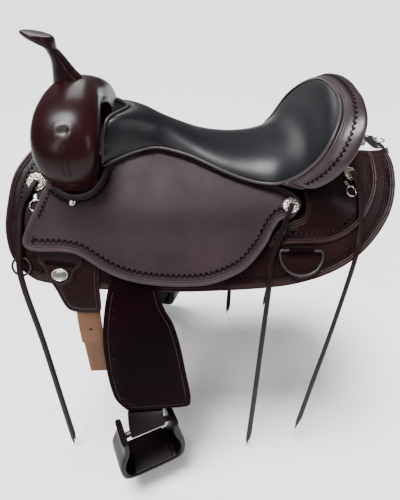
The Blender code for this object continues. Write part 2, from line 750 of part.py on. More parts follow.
def make_fender(side, pivot, group, material):
    """Make the fender, bent from the bar's slot down to where it hangs free."""
    name = "fender_" + SIDE_NAMES[side]
    body = flat_blank(FENDER_OUTLINE, FENDER_LEATHER)
    slice_blank(body, [FENDER_X], FENDER_CUTS)
    for vert in body.verts:
        out, up, _ = hang_frame(vert.co.y, vert.co.z)
        vert.co = Vector((vert.co.x, side * out, up))
    ride_pivot(link_mesh(name, body, group, material, smooth=False), pivot)


def strap_body(path, thickness, x_middle, x_half, side):
    """Return a bmesh of a flat strap that follows a path of (out, up) points."""
    rings = []
    for index, (out, up) in enumerate(path):
        before = Vector(path[max(index - 1, 0)])
        after = Vector(path[min(index + 1, len(path) - 1)])
        run = (after - before).normalized()
        across = Vector((-run.y, run.x)) * (thickness / 2)
        ring = []
        for x, sign in ((-x_half, 1), (x_half, 1), (x_half, -1), (-x_half, -1)):
            ring.append(Vector((x_middle + x, side * (out + across.x * sign),
                                up + across.y * sign)))
        rings.append(ring)
    return loft(rings)


def bolt_place():
    """Return (out, up) of the stirrup bolt's axis."""
    out, up, _ = hang_frame(BOLT_DROP, FENDER_LEATHER / 2)
    return out, up


def make_stirrup_leather(side, pivot, group, material):
    """Make the leather that runs down the fender's back and round the bolt."""
    back = -GAP - STRAP_THICKNESS / 2
    path = []
    fall = (TWIST_START - STRAP_TOP) / STRAP_FALL_STEPS
    lengths = [STRAP_TOP + fall * step for step in range(STRAP_FALL_STEPS + 1)]
    for length in lengths + [STRAP_MEET]:
        out, up, _ = hang_frame(length, back)
        path.append((out, up))
    centre_out, centre_up = bolt_place()
    reach = BOLT_RADIUS + BOLT_CLEARANCE + STRAP_THICKNESS / 2
    slope = FENDER_HANG - math.pi / 2
    for step in range(STRAP_ROUND_STEPS + 1):
        angle = math.pi - STRAP_CLOSE + slope
        angle += (math.pi + 2 * STRAP_CLOSE) * step / STRAP_ROUND_STEPS
        path.append((centre_out + reach * math.cos(angle), centre_up + reach * math.sin(angle)))
    out, up, _ = hang_frame(STRAP_MEET, STRAP_THICKNESS * 0.9)
    path.append((out, up))
    out, up, _ = hang_frame(STRAP_FRONT_END, STRAP_THICKNESS * 0.7)
    path.append((out, up))
    body = strap_body(path, STRAP_THICKNESS, FENDER_X, STRAP_HALF, side)
    _, start, _ = hang_frame(TWIST_START, 0)
    _, end, _ = hang_frame(TWIST_END, 0)
    middle = Vector((FENDER_X, side * centre_out, 0))
    for vert in body.verts:
        share = max(0.0, min(1.0, (start - vert.co.z) / (start - end)))
        turn = Matrix.Rotation(-side * STIRRUP_YAW * share, 3, "Z")
        vert.co = middle + turn @ (vert.co - middle)
    ride_pivot(link_mesh("stirrup_leather_" + SIDE_NAMES[side], body, group, material), pivot)


def stirrup_profile():
    """Return the stirrup's outline in its own plane, as (across, up) from the bolt."""
    wall = STIRRUP_WALL
    top = STIRRUP_TOP_HALF
    foot = STIRRUP_FOOT_HALF
    low = -STIRRUP_HEIGHT
    knee = low * STIRRUP_KNEE
    corner = STIRRUP_CORNER
    outer = [(-top - wall, STIRRUP_EAR), (-top - wall, -STIRRUP_EAR), (-foot - wall, knee),
             (-foot - wall + corner, low - corner / 2), (-STIRRUP_TREAD_HALF, low - wall)]
    inner = [(-top, STIRRUP_EAR), (-top, -STIRRUP_EAR), (-foot, knee),
             (-foot + corner, low + corner), (-STIRRUP_TREAD_HALF, low)]
    full = []
    for half in (smooth_rows(outer, 2), smooth_rows(inner, 2)):
        full.append(half + [(-x, z) for x, z in half[::-1]])
    return full


def make_stirrup(side, pivot, group, material):
    """Make the stirrup round its bolt's axis."""
    outer, inner = stirrup_profile()
    depth = Vector((0, STIRRUP_DEPTH / 2, 0))
    edge = Vector((0, STIRRUP_ROUNDING, 0))
    rings = []
    for (outer_x, outer_z), (inner_x, inner_z) in zip(outer, inner):
        first = Vector((outer_x, 0, outer_z))
        second = Vector((inner_x, 0, inner_z))
        inset = (second - first).normalized() * STIRRUP_ROUNDING
        rings.append([first + inset - depth, first - depth + edge, first + depth - edge,
                      first + inset + depth, second - inset + depth, second + depth - edge,
                      second - depth + edge, second - inset - depth])
    item = link_mesh("stirrup_" + SIDE_NAMES[side], loft(rings), group, material)
    item.parent = pivot


def make_bolt(side, frame, pivot, group, material):
    """Make the bolt that the stirrup swings on."""
    body = bmesh.new()
    bmesh.ops.create_cone(body, cap_ends=True, segments=BOLT_SIDES, radius1=BOLT_RADIUS,
                          radius2=BOLT_RADIUS, depth=2 * (STIRRUP_TOP_HALF - BOLT_END_GAP),
                          matrix=Matrix.Rotation(math.pi / 2, 4, "Y"))
    item = link_mesh("stirrup_bolt_" + SIDE_NAMES[side], body, group, material)
    item.matrix_basis = frame
    ride_pivot(item, pivot)


def make_leg(side, group, materials):
    """Make the fender with all that swings with it."""
    tag = "_" + SIDE_NAMES[side]
    pivot = make_pivot("fender_pivot" + tag, fender_hinge(side), group)
    make_fender(side, pivot, group, materials["brown"])
    make_stirrup_leather(side, pivot, group, materials["brown"])
    out, up = bolt_place()
    frame = Matrix.Translation((FENDER_X, side * out, up))
    frame = frame @ Matrix.Rotation(-side * STIRRUP_YAW, 4, "Z")
    make_bolt(side, frame, pivot, group, materials["silver"])
    stirrup_pivot = make_pivot("stirrup_pivot" + tag, frame, group, pivot)
    make_stirrup(side, stirrup_pivot, group, materials["dark"])


def make_disc(name, radius, thickness, frame, group, material):
    """Make a low domed disc that stands on a frame's XY plane."""
    body = bmesh.new()
    dome = 0.72
    bmesh.ops.create_cone(body, cap_ends=True, segments=20, radius1=radius, radius2=radius * dome,
                          depth=thickness, matrix=Matrix.Translation((0, 0, thickness / 2)))
    item = link_mesh(name, body, group, material)
    item.matrix_world = frame
    return item


def wire_loop(name, points, radius, frame, group, material):
    """Make a closed wire through points of a frame's XY plane."""
    curve = bpy.data.curves.new(name, "CURVE")
    curve.dimensions = "3D"
    curve.bevel_depth = radius
    curve.bevel_resolution = 1
    curve.render_resolution_u = 0
    curve.resolution_u = 1
    spline = curve.splines.new("POLY")
    spline.points.add(len(points) - 1)
    spline.use_cyclic_u = True
    for knot, (x, y) in zip(spline.points, points):
        knot.co = (x, y, 0, 1)
    curve.materials.append(material)
    item = bpy.data.objects.new(name, curve)
    item.matrix_world = frame
    group.objects.link(item)
    return item


def ring_points(radius, count):
    """Return the points of a ring that hangs from the frame's origin."""
    return [(radius * math.sin(2 * math.pi * step / count),
             radius * math.cos(2 * math.pi * step / count) - radius) for step in range(count)]


def dee_points(half, depth):
    """Return the points of a dee whose straight bar lies on the frame's X axis."""
    points = [(half * (2 * step / 4 - 1), 0.0) for step in range(5)]
    for step in range(1, 16):
        angle = math.pi * step / 16
        points.append((half * 1.06 * math.cos(angle), -depth * math.sin(angle) ** 0.8))
    return points


def face_height(face, x, down):
    """Return the height of the named leather's outer face over the back."""
    share = bar_share(x, down)
    low = JOCKEY_BASE + JOCKEY_LEATHER
    heights = {
        "skirt": SKIRT_TOP,
        "ring": SKIRT_TOP + RING_SEAT + 2 * RING_WIRE,
        "jockey": low + (JOCKEY_BAR_TOP - low) * share,
        "flap": FLAP_TOP + (FLAP_BAR_TOP - FLAP_TOP) * share,
    }
    return heights[face]


def face_point(face, x, down, lift, side):
    """Return the world point at a lift over the named leather's outer face."""
    return back_point(x, down, face_height(face, x, down) + lift, side)


def face_frame(face, x, down, lift, side):
    """Return a matrix over a leather's face: Z off it and Y straight up in its plane."""
    step = CONCHO_RADIUS
    along = face_point(face, x + step, down, lift, side) - face_point(face, x - step, down, lift, side)
    up = face_point(face, x, down - step, lift, side) - face_point(face, x, down + step, lift, side)
    off = along.cross(up).normalized()
    if off.z < 0:
        off.negate()
    up = (Vector((0, 0, 1)) - off * off.z).normalized()
    frame = Matrix((up.cross(off), up, off)).transposed().to_4x4()
    frame.translation = face_point(face, x, down, lift, side)
    return frame


def make_hardware(side, group, materials):
    """Make one side's conchos, screw, dees and ring."""
    tag = "_" + SIDE_NAMES[side]
    silver = materials["silver"]
    for name, face, place, radius in (("front_concho", "skirt", FRONT_CONCHO, FRONT_CONCHO_RADIUS),
                                      ("mid_concho", "flap", MID_CONCHO, CONCHO_RADIUS),
                                      ("rear_concho", "jockey", REAR_CONCHO, CONCHO_RADIUS)):
        make_disc(name + tag, radius, CONCHO_THICKNESS, face_frame(face, *place, CONCHO_SEAT, side),
                  group, silver)
    make_disc("fork_screw" + tag, SCREW_RADIUS, SCREW_THICKNESS,
              face_frame("flap", *FORK_SCREW, SCREW_SEAT, side), group, silver)
    clip = ring_points(CLIP_RADIUS, CLIP_POINTS)
    for name, face, place in (("front_clip_dee", "skirt", FRONT_CLIP),
                              ("rear_clip_dee", "jockey", REAR_CLIP)):
        wire_loop(name + tag, clip, CLIP_WIRE,
                  face_frame(face, *place, CLIP_WIRE + CLIP_SEAT, side), group, silver)
    wire_loop("breast_ring" + tag, ring_points(RING_RADIUS, RING_POINTS), RING_WIRE,
              face_frame("skirt", *BREAST_RING, RING_WIRE + RING_SEAT, side), group, silver)
    dee = face_frame("skirt", *REAR_DEE, KEEPER_RADIUS + KEEPER_SEAT, side)
    wire_loop("rear_dee" + tag, dee_points(DEE_HALF, DEE_DEPTH), DEE_WIRE, dee, group, silver)
    make_keeper("rear_dee_keeper" + tag, dee, group, materials["brown"])


def make_keeper(name, frame, group, material):
    """Make the sleeve that holds a dee's bar."""
    bore = DEE_WIRE + GAP
    rings = []
    for place, radius in ((-KEEPER_HALF, bore), (-KEEPER_HALF, KEEPER_RADIUS),
                          (KEEPER_HALF, KEEPER_RADIUS), (KEEPER_HALF, bore)):
        angles = [2 * math.pi * step / KEEPER_SIDES for step in range(KEEPER_SIDES)]
        rings.append([Vector((place, radius * math.cos(angle), radius * math.sin(angle)))
                      for angle in angles])
    body = loft(rings + [rings[0]], caps=False)
    bmesh.ops.remove_doubles(body, verts=body.verts, dist=0.00001)
    item = link_mesh(name, body, group, material)
    item.matrix_world = frame


def make_crupper(group, materials):
    """Make the crupper plate on the skirts' rear join and its dee."""
    ridge = back_point(PLATE_X, SKIRT_EDGE, SKIRT_TOP, RIGHT)
    lift = CRUPPER_THICKNESS / 2 + CRUPPER_SEAT
    centre = Vector((PLATE_X, 0, ridge.z + lift))
    body = bmesh.new()
    size = Matrix.Diagonal((2 * CRUPPER_HALF_LENGTH, 2 * CRUPPER_HALF_WIDTH, CRUPPER_THICKNESS, 1))
    bmesh.ops.create_cube(body, size=1.0, matrix=size)
    item = link_mesh("crupper_plate", body, group, materials["silver"], smooth=False)
    item.location = centre
    lift = CRUPPER_THICKNESS / 2 + CRUPPER_WIRE + GAP
    place = Matrix.Translation(centre + Vector((CRUPPER_DEE_SHIFT, 0, lift)))
    place = place @ Matrix.Rotation(math.pi / 2, 4, "Z")
    wire_loop("crupper_dee", dee_points(CRUPPER_DEE_RADIUS, 1.5 * CRUPPER_DEE_RADIUS),
              CRUPPER_WIRE, place, group, materials["silver"])


def make_latigo(side, name, group, material):
    """Make the tie strap that hangs behind the rigging plate."""
    height = JOCKEY_BASE - LATIGO_DROP - LATIGO_THICKNESS / 2
    path = []
    for step in range(4):
        down = LATIGO_TOP + (LATIGO_TURN - LATIGO_TOP) * step / 3
        point = back_point(LATIGO_X, down, height, RIGHT)
        path.append((point.y, point.z))
    out, up = path[-1]
    slope = LATIGO_SLOPE
    part = LATIGO_LENGTH[side] / LATIGO_STEPS
    for step in range(LATIGO_STEPS):
        slope = min(math.pi / 2, slope + LATIGO_DROOP)
        out += math.cos(slope) * part
        up -= math.sin(slope) * part
        path.append((out, up))
    body = strap_body(path, LATIGO_THICKNESS, LATIGO_X, LATIGO_HALF, side)
    link_mesh(name, body, group, material)


def string_points(start, face, draped, hanging, side):
    """Return a string's chosen points: on the concho, over the leather, then hanging."""
    frame = face_frame(face, *start, CONCHO_SEAT, side)
    rise = Vector((0, 0, CONCHO_THICKNESS + STRING_SEAT + STRING_RADIUS))
    laid = [face_point(under, x, down, STRING_CLEAR + STRING_RADIUS, side)
            for x, down, under in draped]
    run = frame.inverted() @ laid[0]
    run.z = 0
    points = [frame @ rise, frame @ (rise + run.normalized() * STRING_LEVEL)]
    return points + laid + [Vector((x, side * out, up)) for x, out, up in hanging]


def make_string(kind, side, group, material):
    """Make one saddle string as a round tube along its route."""
    chosen = string_points(*STRING_ROUTES[kind], side)
    smooth = smooth_rows([tuple(point) for point in chosen], STRING_CUTS)
    name = kind + "_" + SIDE_NAMES[side]
    curve = bpy.data.curves.new(name, "CURVE")
    curve.dimensions = "3D"
    curve.bevel_depth = STRING_RADIUS
    curve.bevel_resolution = 2
    curve.use_fill_caps = True
    curve.resolution_u = 1
    curve.render_resolution_u = 0
    spline = curve.splines.new("POLY")
    spline.points.add(len(smooth) - 1)
    for knot, point in zip(spline.points, smooth):
        knot.co = (*point, 1)
    curve.materials.append(material)
    group.objects.link(bpy.data.objects.new(name, curve))


def inset_outline(outline, distance):
    """Return an outline pulled in towards its middle by a distance."""
    middle = Vector((sum(point[0] for point in outline), sum(point[1] for point in outline)))
    middle = middle / len(outline)
    result = []
    for x, y, *kind in outline:
        offset = Vector((x, y)) - middle
        result.append((*(middle + offset * (1 - distance / offset.length)), *kind))
    return result


def make_side(side, group, materials):
    """Make everything that one side of the saddle carries."""
    tag = "_" + SIDE_NAMES[side]
    brown = materials["brown"]
    draped_panel("fleece" + tag, inset_outline(SKIRT_OUTLINE, FLEECE_INSET),
                 (FLEECE_THICKNESS, 0.0, 0.0), side, group, materials["wool"])
    draped_panel("skirt" + tag, SKIRT_OUTLINE, (SKIRT_THICKNESS, SKIRT_BASE, SKIRT_BASE), side,
                 group, brown)
    draped_panel("tree_bar" + tag, BAR_OUTLINE, (BAR_THICKNESS, BAR_BASE, BAR_BASE), side, group,
                 materials["wood"])
    draped_panel("rigging_plate" + tag, PLATE_OUTLINE, (JOCKEY_LEATHER, JOCKEY_BASE, JOCKEY_BASE),
                 side, group, brown)
    tab_base = JOCKEY_BASE + JOCKEY_LEATHER + GAP
    draped_panel("rigging_tab" + tag, TAB_OUTLINE, (TAB_THICKNESS, tab_base, tab_base), side,
                 group, brown, holes=[TAB_SLOT])
    draped_panel("rear_jockey" + tag, JOCKEY_OUTLINE,
                 (JOCKEY_LEATHER, JOCKEY_BASE, JOCKEY_BAR_BASE), side, group, brown)
    draped_panel("seat_jockey" + tag, FLAP_OUTLINE, (FLAP_LEATHER, FLAP_BASE, FLAP_BAR_BASE),
                 side, group, materials["mauve"])
    make_leg(side, group, materials)
    make_hardware(side, group, materials)
    for kind in STRING_ROUTES:
        make_string(kind, side, group, brown)


def main():
    """Build the whole saddle."""
    clear_scene()
    group = make_collection("trail_saddle")
    cutters = make_collection("cutters")
    materials = {
        "brown": make_material("brown_leather", BROWN, 0.35),
        "dark": make_material("wrapped_leather", BLACK, 0.40),
        "mauve": make_material("jockey_leather", MAUVE, 0.55),
        "black": make_material("padded_seat_leather", BLACK, 0.32),
        "silver": make_material("silver", SILVER, 0.25, 1.0),
        "steel": make_material("horn_steel", SILVER, 0.45, 1.0),
        "tan": make_material("latigo_leather", TAN, 0.60),
        "wool": make_material("fleece", WOOL, 0.95),
        "wood": make_material("tree_wood", WOOD, 0.60),
    }
    make_fork(group, materials)
    make_horn(group, cutters, materials)
    make_seat(group, materials)
    make_roll(group, materials)
    make_crupper(group, materials)
    for side in (LEFT, RIGHT):
        make_side(side, group, materials)
    make_latigo(LEFT, "latigo_left", group, materials["tan"])
    make_latigo(RIGHT, "off_billet_right", group, materials["tan"])


main()
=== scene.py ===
"""Dress the trail saddle: leathers, padded seat, strings, stirrups and silver.

Units are metres. +X is the horse's tail, -Y the near side and +Z up, as in the CAD.
"""
import logging
import math
from dataclasses import dataclass
from enum import Enum
from functools import cache, cached_property
from typing import Callable, Sequence

import bmesh
import bpy
from mathutils import Matrix, Vector
from mathutils.kdtree import KDTree


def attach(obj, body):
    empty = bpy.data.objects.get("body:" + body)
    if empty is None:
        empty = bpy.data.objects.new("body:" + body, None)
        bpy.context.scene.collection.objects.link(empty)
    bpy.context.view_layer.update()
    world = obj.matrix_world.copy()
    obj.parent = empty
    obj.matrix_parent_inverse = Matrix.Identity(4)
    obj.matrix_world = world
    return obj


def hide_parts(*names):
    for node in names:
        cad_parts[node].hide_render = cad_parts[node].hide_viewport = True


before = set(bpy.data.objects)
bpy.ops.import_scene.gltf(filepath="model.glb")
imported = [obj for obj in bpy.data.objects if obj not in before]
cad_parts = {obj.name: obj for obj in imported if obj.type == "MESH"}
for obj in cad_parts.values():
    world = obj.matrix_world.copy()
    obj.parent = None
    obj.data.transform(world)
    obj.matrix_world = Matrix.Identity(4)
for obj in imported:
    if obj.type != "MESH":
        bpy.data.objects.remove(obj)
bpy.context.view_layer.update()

log = logging.getLogger("trail_saddle")

Flat = tuple[float, float]
Row = tuple[float, ...]
Colour = tuple[float, float, float]
Lay = Callable[[float, float, float], Vector]
Piece = bpy.types.Object
Material = bpy.types.Material
Socket = bpy.types.NodeSocket
ROOT_BODY = "saddle"
MERGE_DISTANCE = 0.00001
TIP_SHARE = 0.12
CONCHO_THICKNESS = 0.0035
CONCHO_SEAT = 0.0008


class Side(Enum):
    """The two sides of the saddle, by the sign of Y."""

    NEAR = -1
    OFF = 1

    @property
    def tag(self) -> str:
        """Return the ending that the side's nodes carry."""
        return "_left" if self is Side.NEAR else "_right"


class Layer(Enum):
    """The layers over the horse's back. RING is the height of the rings on the skirt."""

    FLEECE = "fleece"
    SKIRT = "skirt"
    RIGGING = "rigging"
    TAB = "tab"
    JOCKEY = "jockey"
    FLAP = "flap"
    RING = "ring"


def power(value: float, exponent: float) -> float:
    """Return a power of a value's size with the value's sign."""
    return math.copysign(abs(value) ** exponent, value)


def turns(count: int) -> list[float]:
    """Return evenly spaced angles round a circle."""
    return [2 * math.pi * step / count for step in range(count)]


def row_at(rows: Sequence[Row], index: int, share: float, closed: bool = False) -> Row:
    """Return the Catmull-Rom row at a share of the stretch that follows a row."""
    count = len(rows)
    near = [rows[(index + step) % count if closed else min(max(index + step, 0), count - 1)]
            for step in (-1, 0, 1, 2)]
    return tuple(0.5 * (2 * b + (c - a) * share + (2 * a - 5 * b + 4 * c - d) * share ** 2
                        + (3 * b - a - 3 * c + d) * share ** 3) for a, b, c, d in zip(*near))


def smooth_rows(rows: Sequence[Row], cuts: int, closed: bool = False) -> list[Row]:
    """Put Catmull-Rom rows between rows of numbers, a number of cuts to each stretch."""
    stretches = len(rows) if closed else len(rows) - 1
    result = [row_at(rows, index, cut / cuts, closed)
              for index in range(stretches) for cut in range(cuts)]
    return result if closed else result + [tuple(rows[-1])]


def even_path(points: Sequence[Row | Vector], spacing: float, closed: bool = False) -> list[Vector]:
    """Return points at even steps along a polyline.

    Args:
        points: The polyline's points, flat or in space.
        spacing: The wished distance between points.
        closed: Whether the last point is joined to the first.

    Returns:
        Vectors along the line. A closed line's last point isn't repeated.
    """
    line = [Vector(point) for point in points]
    if closed:
        line.append(line[0])
    lengths = [0.0]
    for start, end in zip(line, line[1:]):
        lengths.append(lengths[-1] + (end - start).length)
    steps = max(2, round(lengths[-1] / spacing))
    result = []
    index = 0
    for step in range(steps + (0 if closed else 1)):
        wanted = lengths[-1] * step / steps
        while index < len(lengths) - 2 and lengths[index + 1] < wanted:
            index += 1
        stretch = max(lengths[index + 1] - lengths[index], 1e-9)
        result.append(line[index].lerp(line[index + 1], (wanted - lengths[index]) / stretch))
    return result


def search_tree(points: Sequence[Vector]) -> KDTree:
    """Return a tree that finds the nearest of some points."""
    tree = KDTree(len(points))
    for index, point in enumerate(points):
        tree.insert(point, index)
    tree.balance()
    return tree


@dataclass(frozen=True)
class Back:
    """The horse's back that the leathers follow: one arc on each side of the channel."""

    radius: float = 0.43
    channel_half: float = 0.025
    ridge_drop: float = 0.010
    wither_rise: float = 0.040
    wither_reach: float = 0.30
    loin_rise: float = 0.012
    loin_reach: float = 0.34
    slope: float = math.radians(28)
    wither_twist: float = math.radians(6)
    wither_twist_reach: float = 0.28
    loin_twist: float = math.radians(-4)
    loin_twist_reach: float = 0.30

    def ridge_height(self, x: float) -> float:
        """Return the height of the back's ridge at x."""
        if x < 0:
            return self.wither_rise * (x / self.wither_reach) ** 2 - self.ridge_drop
        return self.loin_rise * (x / self.loin_reach) ** 2 - self.ridge_drop

    def ridge_slope(self, x: float) -> float:
        """Return the slope of the back's side at the ridge."""
        if x < 0:
            return self.slope + self.wither_twist * (x / self.wither_twist_reach) ** 2
        return self.slope + self.loin_twist * (x / self.loin_twist_reach) ** 2

    def point(self, x: float, down: float, height: float, side: Side = Side.OFF) -> Vector:
        """Return the world point at x, a distance down the side and a height over the back."""
        start = self.ridge_slope(x)
        angle = start + down / self.radius
        out = self.channel_half + self.radius * (math.sin(angle) - math.sin(start))
        out += height * math.sin(angle)
        drop = self.radius * (math.cos(start) - math.cos(angle))
        return Vector((x, side.value * out, self.ridge_height(x) - drop + height * math.cos(angle)))


@dataclass(frozen=True)
class Layers:
    """How high each leather lies over the back, off the bars of the tree and on them."""

    back: Back = Back()
    gap: float = 0.0005
    fleece: float = 0.012
    skirt: float = 0.0045
    jockey: float = 0.0036
    flap: float = 0.0040
    fender: float = 0.0040
    tab: float = 0.0030
    bar: float = 0.0176
    bar_seat: float = 0.0008
    fender_play: float = 0.0062
    flap_play: float = 0.0030
    ring_lift: float = 0.0043
    bar_full: float = 0.112
    bar_clear: float = 0.150
    bar_front: float = -0.258
    bar_rear: float = 0.215
    margin: float = 0.014
    grid_cuts: int = 9
    frame_step: float = 0.0145

    @property
    def skirt_top(self) -> float:
        """Return the height of the skirt's outer face."""
        return self.fleece + self.gap + self.skirt

    @property
    def fender_base(self) -> float:
        """Return the height of the fender's inner face at its hinge."""
        return self.skirt_top + self.fender_play

    def share(self, x: float, down: float) -> float:
        """Return how far a leather rides on the bar here, from 0 to 1."""
        step = (self.bar_rear - self.bar_front + 2 * self.margin) / self.grid_cuts
        front = (x - self.bar_front + self.margin + step) / step
        rear = (self.bar_rear + self.margin + step - x) / step
        side = (self.bar_clear - down) / (self.bar_clear - self.bar_full)
        return max(0.0, min(1.0, front, rear)) * max(0.0, min(1.0, side))

    @cached_property
    def heights(self) -> dict[Layer, tuple[float, float, float]]:
        """Return each layer's thickness and its outer face's height off the bars and on them."""
        over = self.skirt_top + self.gap + self.jockey
        on_bar = self.skirt_top + self.gap + self.bar + self.bar_seat
        flap = self.fender_base + self.fender + self.flap_play + self.flap
        tab = over + self.gap + self.tab
        ring = self.skirt_top + self.ring_lift
        return {
            Layer.FLEECE: (self.fleece, self.fleece, self.fleece),
            Layer.SKIRT: (self.skirt, self.skirt_top, self.skirt_top),
            Layer.RING: (self.ring_lift, ring, ring),
            Layer.RIGGING: (self.jockey, over, over),
            Layer.TAB: (self.tab, tab, tab),
            Layer.JOCKEY: (self.jockey, over, on_bar + self.jockey),
            Layer.FLAP: (self.flap, flap, on_bar + self.flap),
        }

    def point(self, layer: Layer, x: float, down: float, lift: float, side: Side) -> Vector:
        """Return the world point at a lift over a layer's outer face."""
        _, low, high = self.heights[layer]
        return self.back.point(x, down, low + (high - low) * self.share(x, down) + lift, side)

    def lay_on(self, layer: Layer, side: Side, over: float = 0.0) -> Lay:
        """Return the function that lays a flat point on a layer, or a little over it."""
        return lambda x, down, lift: self.point(layer, x, down, lift + over, side)

    def frame(self, layer: Layer, place: Flat, lift: float, side: Side) -> Matrix:
        """Return a matrix over a layer's face: Z off it and Y straight up in its plane."""
        step = self.frame_step
        x, down = place
        along = (self.point(layer, x + step, down, lift, side)
                 - self.point(layer, x - step, down, lift, side))
        rise = (self.point(layer, x, down - step, lift, side)
                - self.point(layer, x, down + step, lift, side))
        off = along.cross(rise).normalized()
        if off.z < 0:
            off.negate()
        rise = (Vector((0, 0, 1)) - off * off.z).normalized()
        matrix = Matrix((rise.cross(off), rise, off)).transposed().to_4x4()
        matrix.translation = self.point(layer, x, down, lift, side)
        return matrix


LAYERS = Layers()
BACK = LAYERS.back


class Bench:
    """The modelling bench: Blender's own tools, used on one piece at a time."""

    @staticmethod
    def put_down() -> None:
        """Leave edit mode and deselect everything."""
        if bpy.context.view_layer.objects.active and bpy.context.mode != "OBJECT":
            bpy.ops.object.mode_set(mode="OBJECT")
        bpy.ops.object.select_all(action="DESELECT")

    @staticmethod
    def take_up(piece: Piece, edit: bool = False) -> None:
        """Select one piece alone, and open it in edit mode if asked."""
        Bench.put_down()
        piece.select_set(True)
        bpy.context.view_layer.objects.active = piece
        if edit:
            bpy.ops.object.mode_set(mode="EDIT")
            bpy.ops.mesh.select_all(action="SELECT")

    @staticmethod
    def added(name: str) -> Piece:
        """Name the piece that a primitive operator has just added."""
        piece = bpy.context.view_layer.objects.active
        piece.name = name
        piece.data.name = name
        return piece

    @staticmethod
    def placed(name: str, data: bpy.types.ID) -> Piece:
        """Put some data in the scene as a new object."""
        item = bpy.data.objects.new(name, data)
        bpy.context.scene.collection.objects.link(item)
        return item

    @staticmethod
    def settle(piece: Piece, matrix: Matrix | None = None) -> None:
        """Apply a matrix and the piece's own place to its mesh."""
        piece.data.transform((matrix or Matrix()) @ piece.matrix_basis)
        piece.matrix_basis = Matrix()
        piece.data.update()

    @staticmethod
    def apply(piece: Piece, kind: str, **settings) -> None:
        """Add one modifier with its settings and apply it."""
        Bench.take_up(piece)
        change = piece.modifiers.new(kind.lower(), kind)
        for key, value in settings.items():
            setattr(change, key, value)
        bpy.ops.object.modifier_apply(modifier=change.name)

    @staticmethod
    def smooth(piece: Piece, angle: float) -> None:
        """Shade a piece smooth up to an angle in degrees."""
        Bench.take_up(piece)
        bpy.ops.object.shade_smooth_by_angle(angle=math.radians(angle))

    @staticmethod
    def point_outwards(piece: Piece, merge: bool = False) -> None:
        """Point every face outwards, after merging doubled points if asked."""
        Bench.take_up(piece, edit=True)
        if merge:
            bpy.ops.mesh.remove_doubles(threshold=MERGE_DISTANCE)
        bpy.ops.mesh.normals_make_consistent(inside=False)
        Bench.put_down()

    @staticmethod
    def cross_cut(places: Sequence[float], axis: int) -> None:
        """Cut the piece in edit mode through each place on an axis."""
        normal = (0, 1, 0) if axis else (1, 0, 0)
        for place in places:
            bpy.ops.mesh.select_all(action="SELECT")
            bpy.ops.mesh.bisect(plane_co=tuple(place * n for n in normal), plane_no=normal)

    @staticmethod
    def cut_out(piece: Piece, cutter: Piece) -> None:
        """Cut a cutter's shape out of a piece and throw the cutter away."""
        Bench.apply(piece, "BOOLEAN", operation="DIFFERENCE", solver="EXACT", object=cutter)
        Bench.discard(cutter)

    @staticmethod
    def join(name: str, parts: Sequence[Piece]) -> Piece:
        """Join parts into one named piece."""
        Bench.put_down()
        for part in parts:
            part.select_set(True)
        bpy.context.view_layer.objects.active = parts[0]
        bpy.ops.object.join()
        return Bench.added(name)

    @staticmethod
    def discard(piece: Piece) -> None:
        """Remove a template."""
        mesh = piece.data
        bpy.data.objects.remove(piece, do_unlink=True)
        bpy.data.meshes.remove(mesh)

    @staticmethod
    def skin(name: str, rings: Sequence[Sequence[Vector]], closed: bool = False) -> Piece:
        """Shape a grid primitive so that it runs through closed rings of points.

        Args:
            name: The piece's name.
            rings: Rings of the same number of points.
            closed: Whether the last ring is joined to the first, instead of both being capped.

        Returns:
            The skinned piece, with faces out.
        """
        count = len(rings[0])
        Bench.put_down()
        bpy.ops.mesh.primitive_grid_add(x_subdivisions=count - 1, y_subdivisions=len(rings) - 1,
                                        size=1.0)
        piece = Bench.added(name)
        body = bmesh.new()
        body.from_mesh(piece.data)
        verts = list(body.verts)
        for vert, point in zip(verts, (point for ring in rings for point in ring)):
            vert.co = point
        last = (len(rings) - 1) * count
        for start in range(0, last, count):
            body.faces.new([verts[start + step] for step in (count - 1, 0, count, 2 * count - 1)])
        if closed:
            for step in range(count):
                after = (step + 1) % count
                body.faces.new([verts[i] for i in (last + step, last + after, after, step)])
        else:
            body.faces.new(verts[:count])
            body.faces.new(verts[last:])
        bmesh.ops.recalc_face_normals(body, faces=body.faces)
        if body.calc_volume(signed=True) < 0:
            bmesh.ops.reverse_faces(body, faces=body.faces)
        for face in body.faces:
            face.smooth = True
        body.to_mesh(piece.data)
        body.free()
        return piece

    @staticmethod
    def tube(name: str, path: Sequence[Vector], profile: Sequence[Flat],
             up: Callable[[int], Vector] = lambda index: Vector((0, 0, 1)),
             closed: bool = False, taper: float = 0.0) -> Piece:
        """Sweep a profile along a path.

        Args:
            name: The piece's name.
            path: The points of the path.
            profile: The section's points, as (across, off the face).
            up: A function that gives the direction off the face at a path index.
            closed: Whether the path is a loop.
            taper: The length over which an open end narrows to a blunt point.

        Returns:
            The swept piece.
        """
        rings = []
        last = len(path) - 1
        for index, point in enumerate(path):
            before = path[index - 1] if closed else path[max(index - 1, 0)]
            after = path[(index + 1) % len(path)] if closed else path[min(index + 1, last)]
            run = (after - before).normalized()
            off = up(index)
            off = (off - run * off.dot(run)).normalized()
            across = run.cross(off)
            width = min(1.0, TIP_SHARE + (path[last] - point).length / taper) if taper else 1.0
            rings.append([point + across * (a * width) + off * b for a, b in profile])
        return Bench.skin(name, rings, closed)


def round_profile(radius: float, sides: int = 12) -> list[Flat]:
    """Return the points of a round section."""
    return [(radius * math.cos(angle), radius * math.sin(angle)) for angle in turns(sides)]


def strap_profile(width: float, thickness: float, rounding: float = 0.0008) -> list[Flat]:
    """Return the points of a flat strap's section with softened corners."""
    half, high = width / 2, thickness / 2
    inner, low = half - rounding, high - rounding * 0.6
    top = [(-inner, high), (-half * 0.4, high), (half * 0.4, high), (inner, high), (half, low)]
    return top + [(half, -low)] + [(x, -y) for x, y in top[3::-1]] + [(-half, -low), (-half, low)]


